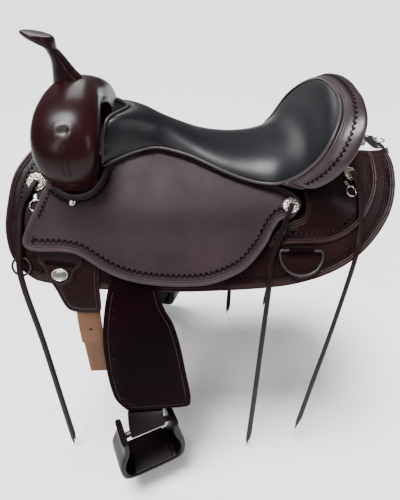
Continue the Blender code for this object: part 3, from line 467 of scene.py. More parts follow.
class Shade:
    """A node material under construction."""

    def __init__(self, name: str) -> None:
        """Start a material with one Principled shader."""
        self.material = bpy.data.materials.new(name)
        self.material.use_nodes = True
        self.nodes = self.material.node_tree.nodes
        self.place = self.nodes.new("ShaderNodeTexCoord").outputs["Object"]

    def put(self, node: bpy.types.Node, inputs: dict[str | int, object]) -> None:
        """Link sockets to a node's inputs, or set their values."""
        for key, value in inputs.items():
            if isinstance(value, Socket):
                self.material.node_tree.links.new(value, node.inputs[key])
            else:
                node.inputs[key].default_value = (*value, 1.0) if isinstance(value, tuple) else value

    def node(self, kind: str, inputs: dict[str | int, object], out: str | int = 0,
             **settings: object) -> Socket:
        """Add a node with its settings and inputs, and return one of its outputs."""
        node = self.nodes.new(kind)
        for key, value in settings.items():
            setattr(node, key, value)
        self.put(node, inputs)
        return node.outputs[out]

    def noise(self, scale: float, detail: float = 3.0, rough: float = 0.55) -> Socket:
        """Return a noise value that reads Object coordinates."""
        return self.node("ShaderNodeTexNoise", {"Vector": self.place, "Scale": scale,
                                                "Detail": detail, "Roughness": rough}, "Fac")

    def cells(self, scale: float, feature: str = "DISTANCE_TO_EDGE") -> Socket:
        """Return a cell pattern that reads Object coordinates."""
        return self.node("ShaderNodeTexVoronoi", {"Vector": self.place, "Scale": scale},
                         "Distance", feature=feature)

    def ramp(self, value: Socket, low: float, high: float, start: float = 0.0,
             end: float = 1.0) -> Socket:
        """Map a value from low..high to start..end, held at both ends."""
        return self.node("ShaderNodeMapRange", {"Value": value, "From Min": low, "From Max": high,
                                                "To Min": start, "To Max": end}, "Result")

    def mix(self, share: Socket, first: Socket | Colour, second: Socket | Colour) -> Socket:
        """Mix two colours."""
        return self.node("ShaderNodeMix", {0: share, 6: first, 7: second}, 2, data_type="RGBA")

    def math(self, operation: str, first: Socket, second: Socket | float) -> Socket:
        """Return an arithmetic node's value."""
        return self.node("ShaderNodeMath", {0: first, 1: second}, operation=operation)

    def bump(self, height: Socket, strength: float, distance: float,
             below: Socket | None = None) -> Socket:
        """Return a normal with a bump, over an earlier normal if one is given."""
        inputs = {"Height": height, "Strength": strength, "Distance": distance}
        if below is not None:
            inputs["Normal"] = below
        return self.node("ShaderNodeBump", inputs, "Normal")

    def finish(self, colour: Socket, roughness: Socket | float, normal: Socket | None = None,
               **constants: float) -> Material:
        """Connect the shader, with constants by name and _ for a space, and return the material."""
        inputs = {"Base Color": colour, "Roughness": roughness}
        if normal is not None:
            inputs["Normal"] = normal
        inputs.update({key.replace("_", " "): value for key, value in constants.items()})
        self.put(self.nodes["Principled BSDF"], inputs)
        return self.material


@dataclass(frozen=True)
class LeatherFinish:
    """Vegetable-tanned leather: dyed unevenly, with fine grain, and lighter at the edges for burnish and
    a painted edge highlight.
    """

    name: str
    base: Colour
    deep: Colour
    # The edge colour is lighter: real burnish and a painted highlight along the edges.
    edge: Colour
    roughness: float
    coat: float = 0.0
    coat_roughness: float = 0.2
    grain: float = 420.0
    grain_depth: float = 0.00012
    swell: float = 0.10
    specular: float = 0.22
    slot: str = "brown_leather"

    def make(self) -> Material:
        """Build the material."""
        shade = Shade(self.name)
        clouds = shade.noise(9.0, 4.0)
        fine = shade.noise(70.0, 3.0)
        dyed = shade.mix(shade.ramp(clouds, 0.34, 0.66), self.deep, self.base)
        dyed = shade.mix(shade.ramp(fine, 0.45, 0.75, 0.0, 0.35), dyed, self.deep)
        # Lighten towards the cut edges: burnish and a painted edge highlight.
        edge = shade.node("ShaderNodeAttribute", {}, "Fac", attribute_name="edge")
        burnish_and_sheen = shade.math("MULTIPLY", edge, shade.ramp(fine, 0.3, 0.7, 0.45, 1.0))
        colour = shade.mix(burnish_and_sheen, dyed, self.edge)
        rough = shade.ramp(shade.noise(26.0, 4.0), 0.3, 0.7, self.roughness - self.swell / 2,
                           self.roughness + self.swell / 2)
        hide = shade.bump(shade.noise(38.0, 3.0), 0.25, 0.0012)
        normal = shade.bump(shade.ramp(shade.cells(self.grain), 0.0, 0.25), 0.35,
                            self.grain_depth, hide)
        return shade.finish(colour, rough, normal, Coat_Weight=self.coat,
                            Coat_Roughness=self.coat_roughness, Specular_IOR_Level=self.specular)


@dataclass(frozen=True)
class SilverFinish:
    """Polished white metal with dark in its low places."""

    name: str
    bright: Colour
    dark: Colour
    roughness: float
    engraving: float = 0.0
    slot: str = "silver"

    def make(self) -> Material:
        """Build the material."""
        shade = Shade(self.name)
        tarnish = shade.ramp(shade.noise(160.0, 4.0), 0.42, 0.70)
        carved = shade.ramp(shade.cells(330.0), 0.02, 0.16)
        low = shade.math("MAXIMUM", shade.math("MULTIPLY", tarnish, 0.5),
                         shade.ramp(carved, 0.0, 1.0, self.engraving, 0.0))
        colour = shade.mix(low, self.bright, self.dark)
        rough = shade.ramp(tarnish, 0.0, 1.0, self.roughness, self.roughness + 0.15)
        normal = shade.bump(carved, max(0.05, self.engraving), 0.0004)
        return shade.finish(colour, rough, normal, Metallic=1.0)


@dataclass(frozen=True)
class FleeceFinish:
    """Cream wool with short curled locks."""

    name: str
    wool: Colour
    shadow: Colour
    slot: str = "fleece"

    def make(self) -> Material:
        """Build the material."""
        shade = Shade(self.name)
        locks = shade.noise(240.0, 5.0, 0.7)
        tufts = shade.cells(150.0, "F1")
        colour = shade.mix(shade.ramp(locks, 0.35, 0.62), self.shadow, self.wool)
        colour = shade.mix(shade.ramp(tufts, 0.35, 0.8, 0.0, 0.4), colour, self.shadow)
        normal = shade.bump(locks, 0.9, 0.002, shade.bump(tufts, 0.8, 0.003))
        return shade.finish(colour, 0.95, normal, Sheen_Weight=0.3, Sheen_Roughness=0.6)


@dataclass(frozen=True)
class ThreadFinish:
    """Waxed thread."""

    name: str
    light: Colour
    dark: Colour
    slot: str = "brown_leather"

    def make(self) -> Material:
        """Build the material."""
        shade = Shade(self.name)
        twist = shade.noise(900.0, 2.0)
        colour = shade.mix(shade.ramp(twist, 0.3, 0.7), self.dark, self.light)
        return shade.finish(colour, 0.55, shade.bump(twist, 0.5, 0.0002))


@dataclass(frozen=True)
class FloorFinish:
    """A pale studio floor."""

    name: str
    pale: Colour
    shadow: Colour

    def make(self) -> Material:
        """Build the material."""
        shade = Shade(self.name)
        return shade.finish(shade.mix(shade.ramp(shade.noise(2.0), 0.3, 0.7), self.shadow, self.pale),
                            0.9)


# Each leather's third colour is its lighter edge: burnish and a painted edge highlight.
FINISHES = {
    "brown": LeatherFinish("brown leather", (0.0110, 0.0023, 0.0029), (0.0046, 0.0011, 0.0015),
                           (0.024, 0.008, 0.009), 0.42, 0.03, 0.30, specular=0.11),
    "fender": LeatherFinish("fender leather", (0.0064, 0.0010, 0.0019), (0.0022, 0.0007, 0.0010),
                            (0.010, 0.004, 0.005), 0.52, 0.0, 0.3, specular=0.02),
    "swell": LeatherFinish("swell leather", (0.0170, 0.0038, 0.0052), (0.0076, 0.0018, 0.0026),
                           (0.030, 0.012, 0.012), 0.30, 0.10, 0.20, grain_depth=0.00006,
                           swell=0.06, specular=0.09),
    "jockey": LeatherFinish("jockey leather", (0.0275, 0.0164, 0.0205), (0.0178, 0.0098, 0.0126),
                            (0.052, 0.036, 0.041), 0.54, 0.0, 0.35, specular=0.14,
                            slot="jockey_leather"),
    "roll": LeatherFinish("cantle leather", (0.0300, 0.0180, 0.0220), (0.0180, 0.0100, 0.0125),
                          (0.058, 0.040, 0.045), 0.36, 0.20, 0.25),
    "seat": LeatherFinish("padded seat leather", (0.0076, 0.0078, 0.0104),
                          (0.0050, 0.0050, 0.0068), (0.012, 0.012, 0.015), 0.38, 0.10, 0.28,
                          grain=520.0, swell=0.08, specular=0.18, slot="padded_seat_leather"),
    "piping": LeatherFinish("piping leather", (0.050, 0.038, 0.040), (0.028, 0.020, 0.022),
                            (0.07, 0.05, 0.055), 0.38, 0.10, 0.25),
    "stamp": LeatherFinish("stamped leather", (0.0066, 0.0026, 0.0036), (0.0032, 0.0013, 0.0018),
                           (0.008, 0.004, 0.005), 0.50, 0.0, 0.2, specular=0.08),
    "wrapped": LeatherFinish("wrapped leather", (0.0046, 0.0013, 0.0021), (0.0026, 0.0009, 0.0013),
                             (0.008, 0.004, 0.005), 0.42, 0.0, 0.25, specular=0.08,
                             slot="wrapped_leather"),
    "latigo": LeatherFinish("latigo leather", (0.150, 0.072, 0.034), (0.095, 0.042, 0.019),
                            (0.06, 0.026, 0.012), 0.60, 0.0, 0.3, slot="latigo_leather"),
    "string": LeatherFinish("string leather", (0.0100, 0.0022, 0.0027), (0.0050, 0.0013, 0.0017),
                            (0.016, 0.006, 0.006), 0.46, 0.0, 0.3, specular=0.12),
    "silver": SilverFinish("silver", (0.62, 0.59, 0.55), (0.08, 0.07, 0.06), 0.20),
    "engraved": SilverFinish("engraved silver", (0.66, 0.61, 0.53), (0.035, 0.028, 0.024), 0.24,
                             0.85),
    "steel": SilverFinish("dark steel", (0.060, 0.054, 0.054), (0.02, 0.018, 0.018), 0.42),
    "fleece": FleeceFinish("fleece", (0.30, 0.26, 0.20), (0.14, 0.11, 0.08)),
    "thread": ThreadFinish("waxed thread", (0.022, 0.015, 0.017), (0.009, 0.006, 0.007)),
}


@cache
def material(finish: str) -> Material:
    """Return a finish's material, made once."""
    return FINISHES[finish].make()


def dress(piece: Piece, finish: str, *nodes: str, slot: str = "", body: str = ROOT_BODY,
          angle: float = 0.0) -> None:
    """Give a piece its finish, its body and the CAD nodes that it stands for.

    Args:
        piece: The finished piece.
        finish: The key of its finish.
        nodes: The CAD nodes that it replaces.
        slot: The record's material slot, if it isn't the finish's own. It is not used.
        body: The body that it moves with.
        angle: The angle in degrees up to which it is shaded smooth, if it isn't shaded yet.
    """
    if angle:
        Bench.smooth(piece, angle)
    piece.data.materials.clear()
    piece.data.materials.append(material(finish))
    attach(piece, body)
    slot or FINISHES[finish].slot
    if nodes:
        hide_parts(*nodes)
    log.info("%s: %d faces on %s", piece.name, len(piece.data.polygons), body)


class Motif(Enum):
    """The dies that mark a border."""

    CRESCENT = "crescent"
    STITCH = "stitch"
    LACE = "lace"


@dataclass(frozen=True)
class Die:
    """A small die, modelled once and struck many times along a border."""

    motif: Motif
    length: float
    width: float
    rise: float
    sunk: float = 0.0006
    sides: int = 12
    hollow: float = 0.42
    back: float = 0.45
    lean: float = 0.45
    blunt: float = 0.7
    shoulder: float = 0.7
    chamfer: float = 0.16

    def outline_point(self, index: int) -> Vector:
        """Return one of the points of the die's foot."""
        half = self.length / 2
        if self.motif is Motif.CRESCENT:
            middle = self.sides // 2
            outer = index < middle
            angle = math.pi * ((index if outer else self.sides - 1 - index) / (middle - 1))
            reach = self.width if outer else self.width * self.hollow
            return Vector((math.cos(angle) * half, math.sin(angle) * reach - self.width * self.back,
                           -self.sunk))
        angle = turns(self.sides)[index]
        lean = math.cos(angle) * half * (self.lean if self.motif is Motif.LACE else 0.0)
        across = power(math.sin(angle), self.blunt)
        return Vector((math.cos(angle) * half, across * self.width / 2 + lean, -self.sunk))

    @cached_property
    def shape(self) -> tuple[list[Vector], list[tuple[int, ...]]]:
        """Model the die and return its points and faces."""
        Bench.put_down()
        bpy.ops.mesh.primitive_circle_add(vertices=self.sides, radius=0.5, fill_type="NGON")
        piece = Bench.added("die")
        for index, vert in enumerate(piece.data.vertices):
            vert.co = self.outline_point(index)
        Bench.take_up(piece, edit=True)
        bpy.ops.mesh.normals_make_consistent(inside=False)
        wall = self.rise * self.shoulder
        bpy.ops.mesh.extrude_region_move(TRANSFORM_OT_translate={"value": (0, 0, wall)})
        bpy.ops.mesh.inset(thickness=min(self.width, self.length) * self.chamfer, depth=0.0)
        bpy.ops.transform.translate(value=(0, 0, self.rise * 0.3))
        Bench.put_down()
        verts = [vert.co.copy() for vert in piece.data.vertices]
        faces = [tuple(face.vertices) for face in piece.data.polygons if face.area > 1e-12]
        Bench.discard(piece)
        return verts, faces

    def strike(self, name: str, spacing: float, path: Sequence[Row | Vector], lay: Lay,
               turned: bool = False) -> Piece:
        """Strike the die along a path.

        Args:
            name: The name of the row of marks.
            spacing: The wished distance between marks.
            path: The path's points in the flat leather.
            lay: The function from (x, down, lift) to the world.
            turned: Whether the marks face the other way.

        Returns:
            One piece that holds all the marks.
        """
        verts: list[Vector] = []
        faces: list[tuple[int, ...]] = []
        shape, sides = self.shape
        places = even_path(path, spacing)
        for start, end in zip(places, places[1:]):
            middle = (start + end) / 2
            run = (end - start).normalized()
            if turned:
                run.negate()
            inward = Vector((-run.y, run.x))
            faces += [tuple(len(verts) + corner for corner in face) for face in sides]
            for point in shape:
                flat = middle + run * point.x + inward * point.y
                verts.append(lay(flat.x, flat.y, point.z))
        mesh = bpy.data.meshes.new(name)
        mesh.from_pydata([tuple(vert) for vert in verts], [], faces)
        piece = Bench.placed(name, mesh)
        Bench.point_outwards(piece)
        Bench.smooth(piece, 60)
        return piece


@dataclass(frozen=True)
class Border:
    """How one leather is decorated along a stretch of its edge."""

    inset: float
    die: Die
    spacing: float
    keep: Callable[[Vector], bool]
    turned: bool = False


@dataclass
class FlatLeather:
    """A leather cut flat, beaded along its edge and laid in its place."""

    name: str
    outline: Sequence[Row]
    thickness: float
    edge: Sequence[Flat]
    cell: float = 0.011
    spacing: float = 0.004
    slot: Sequence[Flat] = ()

    def cut(self) -> list[Vector]:
        """Return the smooth outline, anticlockwise. A point with a third value is a corner."""
        corners = [index for index, point in enumerate(self.outline) if len(point) > 2]
        flat = [tuple(point[:2]) for point in self.outline]
        smooth = [] if corners else smooth_rows(flat, 8, closed=True)
        for first, second in zip(corners, corners[1:] + [sum(corners[:1]) + len(flat)]):
            stretch = [flat[index % len(flat)] for index in range(first, second + 1)]
            smooth += smooth_rows(stretch, 8)[:-1]
        points = even_path(smooth, self.spacing, closed=True)
        area = sum(a.x * b.y - b.x * a.y for a, b in zip(points, points[1:] + points[:1]))
        return points if area > 0 else points[::-1]

    def inner_path(self, border: Border) -> list[Vector]:
        """Return the stretch of the outline, pulled in by a border's inset, that it keeps."""
        points = self.cut()
        count = len(points)
        pulled = []
        for index, point in enumerate(points):
            run = (points[(index + 2) % count] - points[index - 2]).normalized()
            pulled.append(point + Vector((-run.y, run.x)) * border.inset)
        passed = [border.keep(point) for point in pulled]
        if all(passed):
            return pulled + pulled[:1]
        start = next(i for i in range(count) if passed[i] and not passed[i - 1])
        result = []
        while passed[start % count]:
            result.append(pulled[start % count])
            start += 1
        return result

    def make(self, lay: Lay) -> Piece:
        """Cut, bead, thicken and drape the leather.

        Args:
            lay: The function from (x, down, lift over the outer face) to the world.

        Returns:
            The leather, with an edge attribute for its burnish and painted edge highlight.
        """
        points = self.cut()
        Bench.put_down()
        bpy.ops.mesh.primitive_circle_add(vertices=len(points), radius=0.1, fill_type="NGON")
        piece = Bench.added(self.name)
        drop = sum(depth for _, depth in self.edge)
        for vert, point in zip(piece.data.vertices, points):
            vert.co = (point.x, point.y, -drop)
        Bench.take_up(piece, edit=True)
        bpy.ops.mesh.normals_make_consistent(inside=False)
        body = bmesh.from_edit_mesh(piece.data)
        if sum(face.normal.z * face.calc_area() for face in body.faces) < 0:
            bpy.ops.mesh.flip_normals()
        for thickness, depth in self.edge:
            bpy.ops.mesh.inset(thickness=thickness, depth=depth, use_even_offset=False)
        for axis, (low, high) in enumerate(self.spans(points)):
            cuts = max(1, round((high - low) / self.cell))
            Bench.cross_cut([low + (high - low) * step / cuts for step in range(1, cuts)], axis)
        Bench.put_down()
        Bench.apply(piece, "SOLIDIFY", thickness=self.thickness, offset=-1.0)
        for vert in piece.data.vertices:
            if vert.co.z < -self.thickness * 0.6:
                vert.co.z = -self.thickness
        if self.slot:
            self.punch(piece)
        self.mark_burnish_and_sheen(piece, points)
        for vert in piece.data.vertices:
            vert.co = lay(*vert.co)
        Bench.point_outwards(piece, merge=True)
        return piece

    @staticmethod
    def spans(points: Sequence[Vector]) -> list[Flat]:
        """Return the lowest and highest value along each flat axis."""
        return [(min(p[axis] for p in points), max(p[axis] for p in points)) for axis in (0, 1)]

    def punch(self, piece: Piece) -> None:
        """Cut the slot through the flat leather."""
        (left, right), (low, high) = self.spans([Vector(point) for point in self.slot])
        Bench.put_down()
        bpy.ops.mesh.primitive_cube_add(
            size=1.0, location=((left + right) / 2, (low + high) / 2, -self.thickness / 2),
            scale=(right - left, high - low, 4 * self.thickness))
        cutter = Bench.added("slot_punch")
        Bench.apply(cutter, "BEVEL", width=(high - low) * 0.45, segments=4, limit_method="NONE")
        Bench.cut_out(piece, cutter)

    def mark_burnish_and_sheen(self, piece: Piece, points: Sequence[Vector]) -> None:
        """Write how near each point is to the leather's edge, for the burnish and painted highlight
        there.
        """
        reach = sum(thickness for thickness, _ in self.edge) - 0.0003
        tree = search_tree([point.to_3d() for point in points])
        values = piece.data.attributes.new("edge", "FLOAT", "POINT")
        for index, vert in enumerate(piece.data.vertices):
            distance = tree.find((vert.co.x, vert.co.y, 0))[2]
            values.data[index].value = max(0.0, 1.0 - distance / reach)

    def lay_down(self, node: str, tag: str, lay: Lay, finish: str, borders: Sequence[Border],
                 body: str = ROOT_BODY) -> None:
        """Make the leather and its borders, and dress them.

        Args:
            node: The CAD node that it replaces, without its side.
            tag: The side's ending.
            lay: The function from (x, down, lift) to the world.
            finish: The key of its finish.
            borders: The tooled or sewn rows along its edge.
            body: The body that it moves with.
        """
        dress(self.make(lay), finish, node + tag, body=body, angle=50)
        for index, border in enumerate(borders):
            marks = border.die.strike("%s_border_%d%s" % (node, index, tag), border.spacing,
                                      self.inner_path(border), lay, border.turned)
            dress(marks, "thread" if border.die.motif is Motif.STITCH else "stamp",
                  slot=FINISHES[finish].slot, body=body)


@dataclass(frozen=True)
class Lamp:
    """A soft rectangular lamp that faces the saddle."""

    name: str
    place: tuple[float, float, float]
    width: float
    height: float
    power: float

    def hang(self) -> None:
        """Hang the lamp."""
        lamp = bpy.data.lights.new(self.name, "AREA")
        lamp.shape = "RECTANGLE"
        lamp.size = self.width
        lamp.size_y = self.height
        lamp.energy = self.power
        holder = Bench.placed(self.name, lamp)
        holder.location = self.place
        holder.rotation_euler = (-Vector(self.place)).to_track_quat("-Z", "Y").to_euler()


@dataclass(frozen=True)
class Studio:
    """The pale floor, the soft lights and the camera."""

    lens: float = 28.8
    sensor: float = 36.0
    place: tuple[float, float, float] = (-0.0396, -0.755, 0.298)
    tilt: float = math.radians(55)
    turn: float = math.radians(-3)
    floor_level: float = -0.676
    floor_size: float = 60.0
    sky_strength: float = 0.20
    panel_power: float = 7.5
    panel_angle: float = math.radians(24)
    panel_lean: Row = (math.radians(5), math.radians(-11), 0.0)
    lamps: tuple[Lamp, ...] = (
        Lamp("key", (-0.9, -1.6, 1.5), 0.30, 1.5, 16.0),
        Lamp("rear_fill", (1.5, -1.1, 1.1), 0.4, 1.2, 12.0),
        Lamp("far_rim", (-0.5, 1.7, 1.5), 0.7, 1.1, 14.0),
    )

    def set_camera(self) -> None:
        """Put the camera where the photograph was taken from."""
        lens = bpy.data.cameras.new("camera")
        lens.lens = self.lens
        lens.sensor_width = self.sensor
        lens.sensor_fit = "AUTO"
        lens.clip_start = 0.01
        camera = Bench.placed("camera", lens)
        camera.location = self.place
        camera.rotation_euler = (self.tilt, 0.0, self.turn)
        bpy.context.scene.camera = camera

    def set_floor(self) -> None:
        """Lay the floor under the hanging strings."""
        Bench.put_down()
        bpy.ops.mesh.primitive_plane_add(size=self.floor_size, location=(0, 0, self.floor_level))
        floor = Bench.added("studio_floor")
        floor.data.materials.append(FloorFinish("floor", (0.95, 0.95, 0.95), (0.93, 0.93, 0.93)).make())

    def set_lights(self) -> None:
        """Hang the soft lights and set the pale surroundings."""
        sun = bpy.data.lights.new("sky_panel", "SUN")
        sun.energy = self.panel_power
        sun.angle = self.panel_angle
        Bench.placed("sky_panel", sun).rotation_euler = self.panel_lean
        for lamp in self.lamps:
            lamp.hang()
        world = bpy.data.worlds.new("studio")
        world.use_nodes = True
        sky = world.node_tree.nodes["Background"]
        sky.inputs["Color"].default_value = (1.0, 1.0, 1.0, 1.0)
        sky.inputs["Strength"].default_value = self.sky_strength
        bpy.context.scene.world = world


@dataclass(frozen=True)
class StringRoute:
    """One saddle string's chosen points: draped (x, down, layer), then hanging (x, out, up)."""

    kind: str
    start: Flat
    under: Layer
    draped: tuple[tuple[float, float, Layer], ...]
    hanging: tuple[Row, ...]


FRONT_CONCHO = (-0.293, 0.076)
MID_CONCHO = (0.152, 0.112)
REAR_CONCHO = (0.271, 0.058)
STRING_ROUTES = (
    StringRoute("front_string", FRONT_CONCHO, Layer.SKIRT,
                ((-0.318, 0.130, Layer.SKIRT), (-0.321, 0.185, Layer.RING),
                 (-0.323, 0.245, Layer.RING)),
                ((-0.322, 0.196, -0.300), (-0.322, 0.199, -0.480), (-0.323, 0.200, -0.670))),
    StringRoute("mid_string", MID_CONCHO, Layer.FLAP,
                ((0.132, 0.156, Layer.FLAP), (0.115, 0.200, Layer.JOCKEY),
                 (0.110, 0.250, Layer.SKIRT)),
                ((0.108, 0.226, -0.300), (0.106, 0.228, -0.480), (0.103, 0.229, -0.660))),
    StringRoute("rear_string", REAR_CONCHO, Layer.JOCKEY,
                ((0.280, 0.110, Layer.JOCKEY), (0.272, 0.166, Layer.JOCKEY),
                 (0.260, 0.214, Layer.SKIRT)),
                ((0.248, 0.212, -0.300), (0.234, 0.215, -0.460), (0.221, 0.217, -0.620))),
)


@dataclass(frozen=True)
class SaddleStrings:
    """The flat leather strings that hang in pairs from the conchos."""

    radius: float = 0.0035
    cuts: int = 5
    clear: float = 0.0022
    seat: float = 0.0004
    level: float = 0.022
    width: float = 0.0080
    thickness: float = 0.0024
    twin_back: float = 0.0024
    twin_aside: float = 0.0052
    twin_start: float = 0.25
    face_up: float = 0.55
    tail: float = 0.030
    ring_spacing: float = 0.008

    def path(self, route: StringRoute, side: Side) -> list[Vector]:
        """Return the smooth path of one string."""
        frame_here = LAYERS.frame(route.under, route.start, CONCHO_SEAT, side)
        rise = Vector((0, 0, CONCHO_THICKNESS + self.seat + self.radius))
        laid = [LAYERS.point(layer, x, down, self.clear + self.radius, side)
                for x, down, layer in route.draped]
        run = frame_here.inverted() @ laid[0]
        run.z = 0
        chosen = [frame_here @ rise, frame_here @ (rise + run.normalized() * self.level)] + laid
        chosen += [Vector((x, side.value * out, up)) for x, out, up in route.hanging]
        return [Vector(point) for point in smooth_rows(chosen, self.cuts)]

    def make(self, route: StringRoute, side: Side) -> None:
        path = self.path(route, side)
        name = route.kind + side.tag
        fine = even_path(path, self.ring_spacing)
        twin_path = []
        for index, point in enumerate(fine[:-2]):
            share = index / (len(fine) - 1)
            aside = self.twin_aside * (self.twin_start + (1 - self.twin_start) * share ** 2)
            twin_path.append(point + Vector((aside, -side.value * self.twin_back, 0)))
        pieces = [Bench.tube(name + ending, line, strap_profile(self.width, self.thickness),
                             lambda index: Vector((0, side.value, self.face_up)), taper=self.tail)
                  for ending, line in (("_thong", fine), ("_twin", twin_path))]
        for piece in pieces:
            dress(piece, "string", angle=50)
        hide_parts(name)
        length = sum((b - a).length for a, b in zip(path, path[1:]))
        tuple(path[0])
        [tuple(point) for point in path]


SKIRT_OUTLINE = (
    (-0.298, 0.004, 1), (-0.329, 0.063), (-0.341, 0.120), (-0.346, 0.170), (-0.338, 0.212),
    (-0.312, 0.239), (-0.272, 0.247), (-0.120, 0.247), (0.020, 0.247), (0.105, 0.246),
    (0.160, 0.242), (0.215, 0.230), (0.262, 0.209), (0.300, 0.178), (0.332, 0.136),
    (0.350, 0.090), (0.358, 0.040), (0.355, 0.004, 1),
)
FLEECE_OUTLINE = (
    (-0.295, 0.005, 1), (-0.325, 0.064), (-0.337, 0.120), (-0.342, 0.169), (-0.334, 0.209),
    (-0.310, 0.235), (-0.271, 0.243), (-0.120, 0.243), (0.020, 0.243), (0.105, 0.242),
    (0.159, 0.238), (0.213, 0.226), (0.259, 0.206), (0.297, 0.175), (0.328, 0.134),
    (0.346, 0.089), (0.354, 0.040), (0.351, 0.005, 1),
)
FLAP_OUTLINE = (
    (-0.266, 0.080), (-0.286, 0.118), (-0.304, 0.155), (-0.312, 0.178), (-0.307, 0.189),
    (-0.290, 0.192), (-0.246, 0.188), (-0.222, 0.190), (-0.204, 0.198), (-0.178, 0.212),
    (-0.151, 0.223), (-0.111, 0.231), (-0.060, 0.235), (-0.018, 0.235), (0.010, 0.232),
    (0.038, 0.224), (0.067, 0.211), (0.088, 0.193), (0.108, 0.170), (0.120, 0.150),
    (0.134, 0.134), (0.152, 0.132), (0.168, 0.118), (0.170, 0.104), (0.150, 0.084),
    (0.116, 0.070), (0.071, 0.055), (0.038, 0.040), (0.010, 0.026), (-0.029, 0.008),
    (-0.060, -0.002), (-0.080, -0.004), (-0.096, -0.002), (-0.121, 0.005), (-0.155, 0.026),
    (-0.172, 0.042), (-0.178, 0.062), (-0.197, 0.087), (-0.226, 0.096), (-0.251, 0.089),
)
JOCKEY_OUTLINE = (
    (0.178, 0.060), (0.178, 0.126), (0.146, 0.138), (0.112, 0.171), (0.160, 0.174),
    (0.206, 0.176), (0.232, 0.173), (0.258, 0.163), (0.284, 0.143), (0.304, 0.115),
    (0.319, 0.080), (0.325, 0.040), (0.323, 0.010), (0.290, 0.004), (0.262, 0.020),
    (0.215, 0.045),
)
PLATE_OUTLINE = (
    (-0.262, 0.156), (-0.279, 0.200), (-0.276, 0.235), (-0.264, 0.258), (-0.252, 0.282),
    (-0.238, 0.291), (-0.200, 0.290), (-0.188, 0.282), (-0.188, 0.240), (-0.190, 0.156),
)
TAB_OUTLINE = (
    (-0.292, 0.172), (-0.294, 0.200), (-0.292, 0.212), (-0.284, 0.217), (-0.281, 0.224),
    (-0.279, 0.234), (-0.268, 0.241), (-0.256, 0.249), (-0.244, 0.242), (-0.233, 0.235),
    (-0.230, 0.224), (-0.226, 0.217), (-0.217, 0.212), (-0.214, 0.200), (-0.216, 0.172),
)
TAB_SLOT = ((-0.279, 0.205), (-0.227, 0.205), (-0.227, 0.213), (-0.279, 0.213))
# The dark sheet under the tab's slot: painted shade seen through the slot.
SLOT_SHADE_OUTLINE = ((-0.284, 0.201), (-0.222, 0.201), (-0.222, 0.217), (-0.284, 0.217))
GROOVE = ((0.0008, -0.0006), (0.0007, 0.0006))
PLAIN_EDGE = ((0.0006, 0.0008), (0.0010, 0.0004))
ONE_LINE = PLAIN_EDGE + ((0.0030, 0.0),) + GROOVE
TWO_LINES = ONE_LINE + ((0.0022, 0.0),) + GROOVE
CRESCENT = Die(Motif.CRESCENT, 0.0088, 0.0072, 0.0011)
STITCH = Die(Motif.STITCH, 0.0034, 0.0013, 0.0007)
LAID_LEATHERS = (
    ("skirt", SKIRT_OUTLINE, Layer.SKIRT, TWO_LINES, "brown", (), (
        Border(0.0185, CRESCENT, 0.0096, lambda p: p.y > 0.030),
        Border(0.0125, STITCH, 0.0050, lambda p: p.y > 0.016))),
    ("rigging_plate", PLATE_OUTLINE, Layer.RIGGING, ONE_LINE, "brown", (), (
        Border(0.0085, STITCH, 0.0044, lambda p: p.y > 0.200),)),
    ("rigging_tab", TAB_OUTLINE, Layer.TAB, PLAIN_EDGE, "brown", TAB_SLOT, (
        Border(0.0045, STITCH, 0.0044, lambda p: True),)),
    ("rear_jockey", JOCKEY_OUTLINE, Layer.JOCKEY, TWO_LINES, "brown", (), (
        Border(0.0175, CRESCENT, 0.0096, lambda p: p.y > 0.035 and (p.x > 0.185 or p.y > 0.150)),)),
    ("seat_jockey", FLAP_OUTLINE, Layer.FLAP, TWO_LINES, "jockey", (), (
        Border(0.0175, CRESCENT, 0.0096, lambda p: p.y > 0.166 or (p.x > 0.080 and p.y > 0.105)),
        Border(0.0120, Die(Motif.CRESCENT, 0.0072, 0.0060, 0.0009), 0.0080,
               lambda p: p.y < 0.140 and p.x < -0.155, turned=True))),
)


@dataclass(frozen=True)
class LaidLeathers:
    """The leathers that lie on the back: skirts, jockeys, plates, tabs and their wool."""

    wool_cell: float = 0.0075
    wool_spacing: float = 0.006
    wool_edge: tuple[Flat, ...] = ((0.003, 0.0015), (0.004, 0.0005))
    lock_size: float = 0.008
    lock_depth: float = 0.0045
    # The dark sheet of painted shade under the tab's slot.
    slot_shade_thickness: float = 0.0005
    slot_shade_edge: tuple[Flat, ...] = ((0.0004, 0.0002),)
    slot_shade_over: float = 0.0004

    def fleece(self, side: Side) -> None:
        """Make the wool under one skirt, with its locks as relief."""
        cut = FlatLeather("fleece_wool" + side.tag, FLEECE_OUTLINE, LAYERS.fleece, self.wool_edge,
                          self.wool_cell, self.wool_spacing)
        piece = cut.make(LAYERS.lay_on(Layer.FLEECE, side))
        Bench.smooth(piece, 50)
        locks = bpy.data.textures.new("locks" + side.tag, "CLOUDS")
        locks.noise_scale = self.lock_size
        locks.noise_depth = 2
        Bench.apply(piece, "DISPLACE", texture=locks, texture_coords="GLOBAL",
                    strength=self.lock_depth, mid_level=1.0)
        dress(piece, "fleece", "fleece" + side.tag)

    def shade_slot(self, side: Side) -> None:
        """Lay a dark sheet on the rigging plate under the tab's slot: painted shade in the slot."""
        cut = FlatLeather("slot_painted_shade" + side.tag, SLOT_SHADE_OUTLINE, self.slot_shade_thickness, self.slot_shade_edge)
        dress(cut.make(LAYERS.lay_on(Layer.RIGGING, side, self.slot_shade_over)), "wrapped",
              slot="brown_leather", angle=50)

    def make(self, side: Side) -> None:
        """Make one side's laid leathers."""
        self.fleece(side)
        for name, outline, layer, edge, finish, slot, borders in LAID_LEATHERS:
            # A slotted leather gets a dark sheet of painted shade under its slot.
            if slot:
                self.shade_slot(side)
            cut = FlatLeather(name + "_leather" + side.tag, outline, LAYERS.heights[layer][0], edge,
                              slot=slot)
            cut.lay_down(name, side.tag, LAYERS.lay_on(layer, side), finish, borders)


